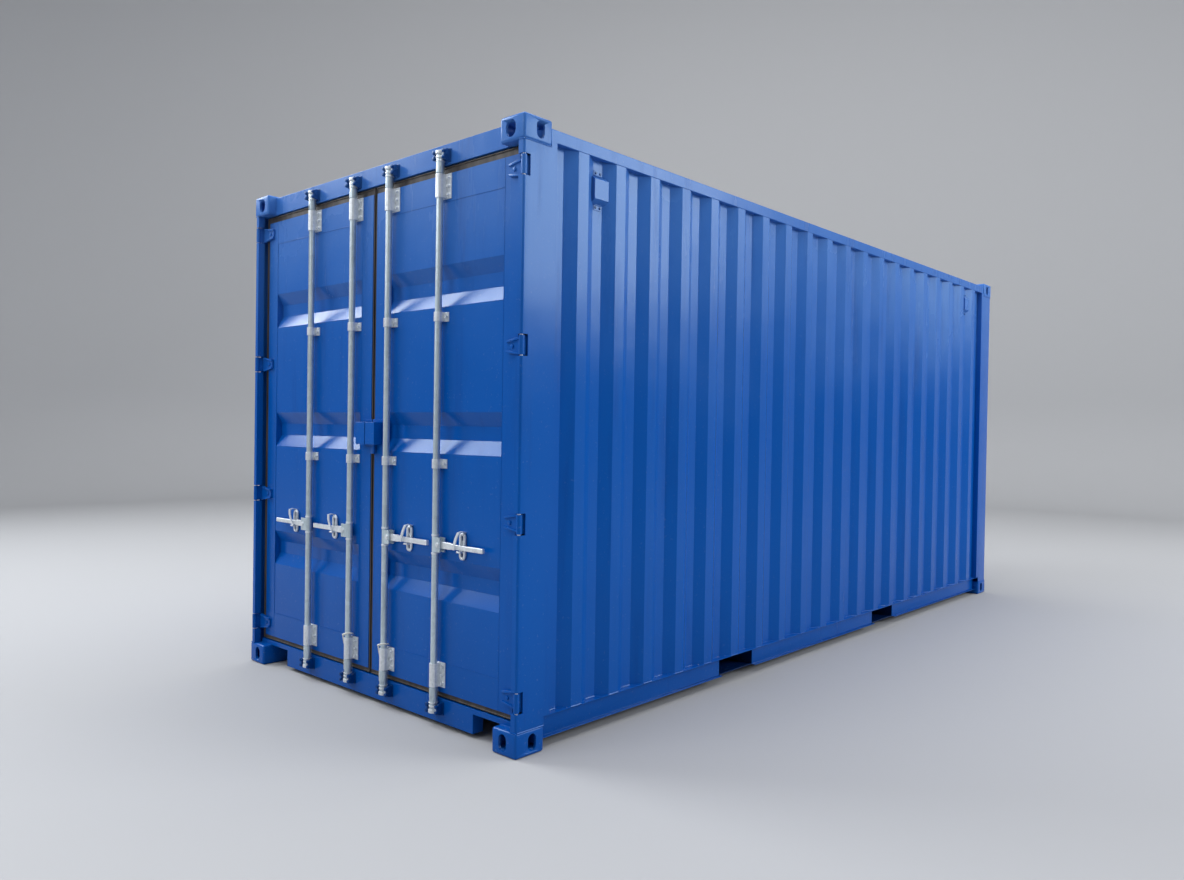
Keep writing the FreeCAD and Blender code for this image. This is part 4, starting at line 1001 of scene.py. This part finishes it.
class CONTAINER_OT_handle_catches(PieceOperator, bpy.types.Operator):
    """Forge the handle catches: a long loop, a shelf and a lip over the handle"""

    bl_idname = "container.handle_catches"
    bl_label = "Handle catches"

    def make(self):
        for side, sign in SIDES.items():
            mesh = bmesh.new()
            for station in ("inner", "outer"):
                self.catch(mesh, side, sign, station)
            piece = mesh_piece(f"handle_catch_loops_{side}", mesh, zinc(), 50)
            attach(piece, f"door_{side}")
            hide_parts(f"handle_catches_{side}")

    def catch(self, mesh, side, sign, station):
        bar = joint_place(f"bar_{side}_{station}_turn")
        boxes = islands(f"handle_catches_{side}")
        low, high = min(boxes, key=lambda pair: abs((pair[0].x + pair[1].x) / 2 - bar.x))
        handle_low, handle_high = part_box(f"handle_{side}_{station}")
        centre = (low.x + high.x) / 2
        level = (handle_low.z + handle_high.z) / 2
        seat = high.y
        loop = 0.0080
        wide = 0.0155
        add_loop(mesh, (centre, seat - loop, level + 0.004), wide, 0.0445, loop)
        add_box(
            mesh, (centre - 0.015, seat - 0.006, level - 0.026), (centre + 0.015, seat, level + 0.032), 0.002
        )
        add_box(
            mesh, (centre - 0.015, handle_low.y + 0.001, low.z + 0.016),
            (centre + 0.015, seat, low.z + 0.025), 0.003,
        )
        front = handle_low.y - 0.006
        profile = (
            (seat - 0.004, high.z - 0.016), (seat - 0.022, high.z - 0.010), (front + 0.001, high.z - 0.014),
            (front - 0.005, high.z - 0.040), (front - 0.004, level + 0.004), (front, level - 0.012),
        )
        self.lip(mesh, centre, sign, profile)

    def lip(self, mesh, centre, sign, profile, wide=0.011, thick=0.0055):
        """Bent strip over the handle, leaning towards the bar as it drops."""
        top = profile[0][1]
        rings = []
        for index, (place, level) in enumerate(profile):
            before = Vector(profile[max(index - 1, 0)])
            after = Vector(profile[min(index + 1, len(profile) - 1)])
            along = (after - before).normalized()
            across = Vector((-along.y, along.x)) * (thick / 2)
            lean = centre - sign * 0.42 * (top - level) + sign * 0.010
            half = wide * (1.0 - 0.08 * index)
            rings.append([
                mesh.verts.new((lean + half * x, place + across.x * y, level + across.y * y))
                for x, y in ((-1, -1), (1, -1), (1, 1), (-1, 1))
            ])
        join_rows(mesh, rings)
        cap_ends(mesh, rings)


# Collars at each end of a bar: distance from the end, height and radius, in metres.
END_COLLARS = ((0.0, 0.019, 0.0245), (0.030, 0.009, 0.0225), (0.048, 0.006, 0.0235))
MIDDLE_COLLAR = 0.0195


class CONTAINER_OT_bar_details(PieceOperator, bpy.types.Operator):
    """Collars, pivot bolts and cam faces of the locking bars"""

    bl_idname = "container.bar_details"
    bl_label = "Locking bar details"

    def make(self):
        for side in SIDES:
            for station in ("inner", "outer"):
                self.bar(side, station)

    def bar(self, side, station):
        node = f"locking_bar_{side}_{station}"
        low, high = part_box(node)
        axis = joint_place(f"bar_{side}_{station}_turn")
        pivot = joint_place(f"handle_{side}_{station}_lift")
        mesh = bmesh.new()
        for end, inward in ((low.z, 1), (high.z, -1)):
            for start, tall, radius in END_COLLARS:
                first = Vector((axis.x, axis.y, end + inward * start))
                add_rod(mesh, first, first + Vector((0, 0, inward * tall)), radius, 28, 0.003)
        front = axis.y - 0.018
        base = Vector((pivot.x, front, pivot.z))
        add_rod(mesh, base, base - Vector((0, 0.006, 0)), 0.011, 6, 0.001)
        add_rod(mesh, base, base - Vector((0, 0.002, 0)), 0.014, 20, 0.0005)
        for level in (pivot.z - 0.045, pivot.z + 0.045):
            start, end = (axis.x, axis.y, level - 0.005), (axis.x, axis.y, level + 0.005)
            add_rod(mesh, start, end, MIDDLE_COLLAR, 28, 0.002)
        piece = mesh_piece(f"bar_details_{side}_{station}", mesh, zinc())
        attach(piece, body_name(node))


class CONTAINER_OT_keepers(PieceOperator, bpy.types.Operator):
    """Cast the cam keepers with rounded noses, foot plates, stop pins and bosses"""

    bl_idname = "container.keepers"
    bl_label = "Cam keepers"

    def make(self):
        mesh = bmesh.new()
        for low, high in islands("keepers"):
            middle = (low.z + high.z) / 2
            half = (high.z - low.z) / 2
            nose = 0.019
            outline = [(high.y, middle - half), (high.y, middle + half)]
            turns = [math.pi / 2 * step / 8 for step in range(9)]
            upper, lower = middle + half - nose, middle - half + nose
            outline += [
                (low.y + nose - nose * math.sin(turn), upper + nose * math.cos(turn)) for turn in turns
            ]
            outline += [
                (low.y + nose - nose * math.cos(turn), lower - nose * math.sin(turn)) for turn in turns
            ]
            add_plate(mesh, outline, "x", low.x, high.x, 0.002)
            foot = 0.004
            add_box(
                mesh, (low.x - foot, high.y - 0.006, low.z - foot),
                (high.x + foot, high.y + 0.0005, high.z + foot), 0.002,
            )
            centre = Vector(((low.x + high.x) / 2, low.y + 0.013, middle))
            half_pin = Vector(((high.x - low.x) / 2 + 0.0035, 0, 0))
            add_rod(mesh, centre - half_pin, centre + half_pin, 0.0065, 16, 0.0015)
            for step in (-1, 1):
                boss = Vector((centre.x, low.y + 0.004, middle + step * 0.015))
                add_rod(mesh, boss, boss - Vector((0, 0.014, 0)), 0.0095, 20, 0.004)
        # The keeper paint is darkened as painted shade, for the shadowed ears beside the cams.
        piece = mesh_piece("cam_keepers", mesh, paint("keeper paint in painted shade", 0.25, 0.30, 0.45))
        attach(piece, "container")
        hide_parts("keepers")


class CONTAINER_OT_lock_box_details(PieceOperator, bpy.types.Operator):
    """Back plate and tongue of the padlock housing"""

    bl_idname = "container.lock_box_details"
    bl_label = "Padlock housing"

    def make(self):
        for side, sign in SIDES.items():
            low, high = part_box(f"lock_box_{side}")
            mesh = bmesh.new()
            inner = min(abs(low.x), abs(high.x))
            outer = max(abs(low.x), abs(high.x))
            spans = sorted((sign * inner, sign * (outer + 0.014)))
            add_box(
                mesh, (spans[0], high.y - 0.004, high.z - 0.004), (spans[1], high.y + 0.0005, high.z + 0.016),
                0.0015,
            )
            if side == "right":
                spans = sorted((sign * (inner + 0.008), sign * (inner + 0.040)))
                add_box(
                    mesh, (spans[0], high.y - 0.022, low.z - 0.050),
                    (spans[1], high.y - 0.010, low.z + 0.04), 0.003,
                )
            piece = mesh_piece(f"lock_box_details_{side}", mesh, paint("door paint"))
            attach(piece, f"door_{side}")


class CONTAINER_OT_gasket_lips(PieceOperator, bpy.types.Operator):
    """Run a rounded lip round each door seal"""

    bl_idname = "container.gasket_lips"
    bl_label = "Door seals"

    def make(self):
        for side in SIDES:
            low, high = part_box(f"door_gasket_{side}")
            face = low.y
            mesh = bmesh.new()
            radius = 0.0045
            rows = (
                ((low.x + radius, low.z + radius), (high.x - radius, low.z + radius)),
                ((low.x + radius, high.z - radius), (high.x - radius, high.z - radius)),
                ((low.x + radius, low.z + radius), (low.x + radius, high.z - radius)),
                ((high.x - radius, low.z + radius), (high.x - radius, high.z - radius)),
            )
            for first, second in rows:
                add_rod(mesh, (first[0], face, first[1]), (second[0], face, second[1]), radius, 10)
            piece = mesh_piece(f"gasket_lip_{side}", mesh, rubber())
            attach(piece, f"door_{side}")


# ------------------------------------------------------------------ operators: ventilators, ropes


class CONTAINER_OT_vent_details(PieceOperator, bpy.types.Operator):
    """Rivets and drip lips of the ventilators"""

    bl_idname = "container.vent_details"
    bl_label = "Ventilator details"

    def make(self):
        material = paint("vent paint", 0.9, 0.2)
        # The rivets take the keeper paint, which is darkened as painted shade.
        dark = paint("keeper paint in painted shade", 0.25, 0.30, 0.45)
        rivet_edge, rivet_half = 0.013, 0.016
        lip_edge, lip_half = 0.026, 0.027
        mesh = bmesh.new()
        for side, sign in SIDES.items():
            points = []
            for low, high in islands("ventilators"):
                if (low.x > 0) != (sign > 0):
                    continue
                seat = low.x if sign > 0 else high.x
                middle = (low.y + high.y) / 2
                for level in (low.z + rivet_edge, high.z - rivet_edge):
                    for across in (-rivet_half, rivet_half):
                        points.append((seat + sign * 0.003, middle + across, level))
                for level in (low.z + lip_edge, high.z - lip_edge):
                    spans = sorted((seat + sign * 0.0025, seat + sign * 0.007))
                    add_box(
                        mesh, (spans[0], middle - lip_half, level - 0.0025),
                        (spans[1], middle + lip_half, level + 0.0025), 0.001,
                    )
            heads(
                f"vent_rivets_{side}", "container", points, (sign, 0, 0), looks().rivet, 0.005,
                1.3 * looks().rivet, 12, dark,
            )
        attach(mesh_piece("vent_lips", mesh, material), "container")


ROPE_DIAMETER = 0.008

# Points of a tie rope, beside its bar, behind the door end and above the ground, in metres.
ROPE_ROUTE = (
    (-0.027, 0.014, 0.329), (-0.025, 0.040, 0.329), (0.000, 0.0525, 0.334), (0.025, 0.041, 0.341),
    (0.027, 0.015, 0.347), (0.004, 0.0022, 0.343), (-0.021, 0.007, 0.334), (-0.030, 0.017, 0.305),
    (-0.0262, 0.027, 0.252), (-0.029, 0.025, 0.206), (-0.0315, 0.024, 0.168), (-0.031, 0.026, 0.137),
)


class CONTAINER_OT_tie_ropes(PieceOperator, bpy.types.Operator):
    """Lay each tie rope as a tube with three turning strands, and tie its knot"""

    bl_idname = "container.tie_ropes"
    bl_label = "Tie ropes"

    def make(self):
        door_end = CAD_BOX[0].y
        for side in SIDES:
            bar = joint_place(f"bar_{side}_inner_turn")
            origin = Vector((bar.x, door_end, 0))
            line = self.line_points([origin + Vector(place) for place in ROPE_ROUTE])
            mesh = bmesh.new()
            self.laid_strands(mesh, line)
            piece = mesh_piece(f"tie_rope_strands_{side}", mesh, rope_fibre(), 80)
            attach(piece, f"door_{side}")
            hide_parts(f"tie_rope_{side}")
            mesh = bmesh.new()
            add_ring(mesh, line[0], (0.3, 0.2, 1), 0.0045, 0.0034, 1.0, 18, 8)
            add_ring(mesh, line[0], (1, 0.4, 0.1), 0.0042, 0.0034, 1.0, 18, 8)
            knot = mesh_piece(f"tie_rope_knot_{side}", mesh, rope_fibre(), 80)
            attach(knot, f"door_{side}")

    def line_points(self, route):
        """Evenly read points of the smooth curve through the route."""
        curve = bpy.data.curves.new("rope_line", "CURVE")
        curve.dimensions = "3D"
        spline = curve.splines.new("NURBS")
        spline.points.add(len(route) - 1)
        for point, place in zip(spline.points, route):
            point.co = (*place, 1.0)
        spline.order_u = 3
        spline.use_endpoint_u = True
        spline.resolution_u = 16
        holder = bpy.data.objects.new("rope_line", curve)
        bpy.context.scene.collection.objects.link(holder)
        depsgraph = bpy.context.evaluated_depsgraph_get()
        data = bpy.data.meshes.new_from_object(holder.evaluated_get(depsgraph))
        points = [vert.co.copy() for vert in data.vertices]
        bpy.data.objects.remove(holder)
        bpy.data.meshes.remove(data)
        return points

    def laid_strands(self, mesh, line, groove=0.0008, pitch=0.024, sides=18):
        """Closed tube along the line whose three strands turn round each other."""
        crest = ROPE_DIAMETER / 2
        travelled = 0.0
        across = (line[1] - line[0]).normalized().orthogonal().normalized()
        rows = []
        for index, place in enumerate(line):
            ahead = line[min(index + 1, len(line) - 1)]
            behind = line[max(index - 1, 0)]
            along = (ahead - behind).normalized()
            across = (across - along * across.dot(along)).normalized()
            other = along.cross(across)
            if index:
                travelled += (place - line[index - 1]).length
            twist = 2 * math.pi * travelled / pitch
            row = []
            for side in range(sides):
                turn = 2 * math.pi * side / sides
                radius = crest - groove * (1 - abs(math.cos(1.5 * (turn - twist))))
                row.append(mesh.verts.new(
                    place + (across * math.cos(turn) + other * math.sin(turn)) * radius
                ))
            rows.append(row)
        join_rows(mesh, rows)
        cap_ends(mesh, rows)


# ------------------------------------------------------------------ operator: stage


class CONTAINER_OT_stage(PieceOperator, bpy.types.Operator):
    """Set up floor, backdrop, lamps and camera"""

    bl_idname = "container.stage"
    bl_label = "Studio"

    def make(self):
        self.backdrop()
        self.lamps()
        self.camera()

    def backdrop(self):
        """Round floor that sweeps up into a tall wall."""
        reach = studio().reach
        rise, cove = 26.0, 2.2
        profile = [(reach * 0.5, 0.0), (reach - cove, 0.0)]
        for step in range(1, 9):
            angle = math.pi / 2 * step / 8
            profile.append((reach - cove + cove * math.sin(angle), cove * (1 - math.cos(angle))))
        profile.append((reach, rise))
        mesh = bmesh.new()
        turns = 96
        rows = []
        for radius, level in profile:
            angles = [2 * math.pi * turn / turns for turn in range(turns)]
            rows.append([
                mesh.verts.new((radius * math.cos(angle), radius * math.sin(angle), level))
                for angle in angles
            ])
        mesh.faces.new(rows[0])
        join_rows(mesh, rows)
        material = bpy.data.materials.new("studio grey")
        material.use_nodes = True
        shader = material.node_tree.nodes["Principled BSDF"]
        shader.inputs["Base Color"].default_value = opaque(studio().grey)
        shader.inputs["Roughness"].default_value = 0.75
        shader.inputs["Specular IOR Level"].default_value = 0.25
        bowl = mesh_piece("studio_bowl", mesh, material, 60)
        bowl.data.flip_normals()

    def lamp(self, name, place, aim, size, power, colour=(1, 1, 1)):
        light = bpy.data.lights.new(name, "AREA")
        light.shape = "RECTANGLE"
        light.size, light.size_y = size
        light.energy = power
        light.color = colour
        item = bpy.data.objects.new(name, light)
        item.location = place
        item.rotation_euler = (Vector(aim) - Vector(place)).to_track_quat("-Z", "Y").to_euler()
        bpy.context.scene.collection.objects.link(item)

    def lamps(self):
        self.lamp("overhead", (0.5, -1.5, 10.5), (0, 0, 0), (11, 14), 1350)
        self.lamp("door_sky", (-8.6, -6.0, 8.0), (0, -3.0, 1.4), (6, 5.2), 1060, (0.95, 0.975, 1))
        self.lamp("door_fill", (-1.5, -12.5, 6.5), (0, -3.0, 1.0), (6, 4), 260, (0.95, 0.975, 1))
        self.lamp("side_sky", (12.0, 7.0, 6.5), (1.2, 0.8, 1.6), (9, 5), 1450, (0.95, 0.975, 1))
        self.lamp("backdrop_wash", (-2.0, 3.5, 13.0), (-8.0, 14.0, 5.0), (10, 6), 820)
        world = bpy.data.worlds.new("studio air")
        bpy.context.scene.world = world
        world.use_nodes = True
        world.node_tree.nodes["Background"].inputs["Color"].default_value = (0.80, 0.83, 0.88, 1)
        world.node_tree.nodes["Background"].inputs["Strength"].default_value = 0.3

    def camera(self):
        own = studio()
        lens = bpy.data.cameras.new("studio_camera")
        lens.lens = own.lens
        lens.sensor_width = 36
        lens.clip_end = 200
        item = bpy.data.objects.new("studio_camera", lens)
        item.location = own.place
        item.rotation_euler = Euler(own.turn, "XYZ")
        bpy.context.scene.collection.objects.link(item)
        bpy.context.scene.camera = item
        bpy.context.scene.view_settings.view_transform = "Standard"


# ------------------------------------------------------------------ panel and registration


OPERATORS = (
    CONTAINER_OT_stage,
    CONTAINER_OT_tie_ropes,
    CONTAINER_OT_finish_nodes,
    CONTAINER_OT_ease_castings,
    CONTAINER_OT_ease_posts,
    CONTAINER_OT_ease_steelwork,
    CONTAINER_OT_weld_seams,
    CONTAINER_OT_bolt_guides,
    CONTAINER_OT_hinge_ribs,
    CONTAINER_OT_handle_catches,
    CONTAINER_OT_bar_details,
    CONTAINER_OT_keepers,
    CONTAINER_OT_lock_box_details,
    CONTAINER_OT_gasket_lips,
    CONTAINER_OT_vent_details,
)


class CONTAINER_PT_panel(bpy.types.Panel):
    """The making steps in the order in which they run."""

    bl_idname = "CONTAINER_PT_panel"
    bl_label = "Container"
    bl_space_type = "VIEW_3D"
    bl_region_type = "UI"
    bl_category = "Container"

    def draw(self, context):
        for group in (context.scene.container_looks, context.scene.stage_looks):
            column = self.layout.column(align=True)
            for name in group.__annotations__:
                column.prop(group, name)
        for operator in OPERATORS:
            self.layout.operator(operator.bl_idname)


CLASSES = (ContainerLooks, StageLooks, *OPERATORS, CONTAINER_PT_panel)


def register():
    for item in CLASSES:
        bpy.utils.register_class(item)
    bpy.types.Scene.container_looks = bpy.props.PointerProperty(type=ContainerLooks)
    bpy.types.Scene.stage_looks = bpy.props.PointerProperty(type=StageLooks)


def unregister():
    del bpy.types.Scene.stage_looks
    del bpy.types.Scene.container_looks
    for item in reversed(CLASSES):
        bpy.utils.unregister_class(item)


def main():
    register()
    for operator in OPERATORS:
        group, action = operator.bl_idname.split(".")
        getattr(getattr(bpy.ops, group), action)()


if __name__ == "__main__":
    main()
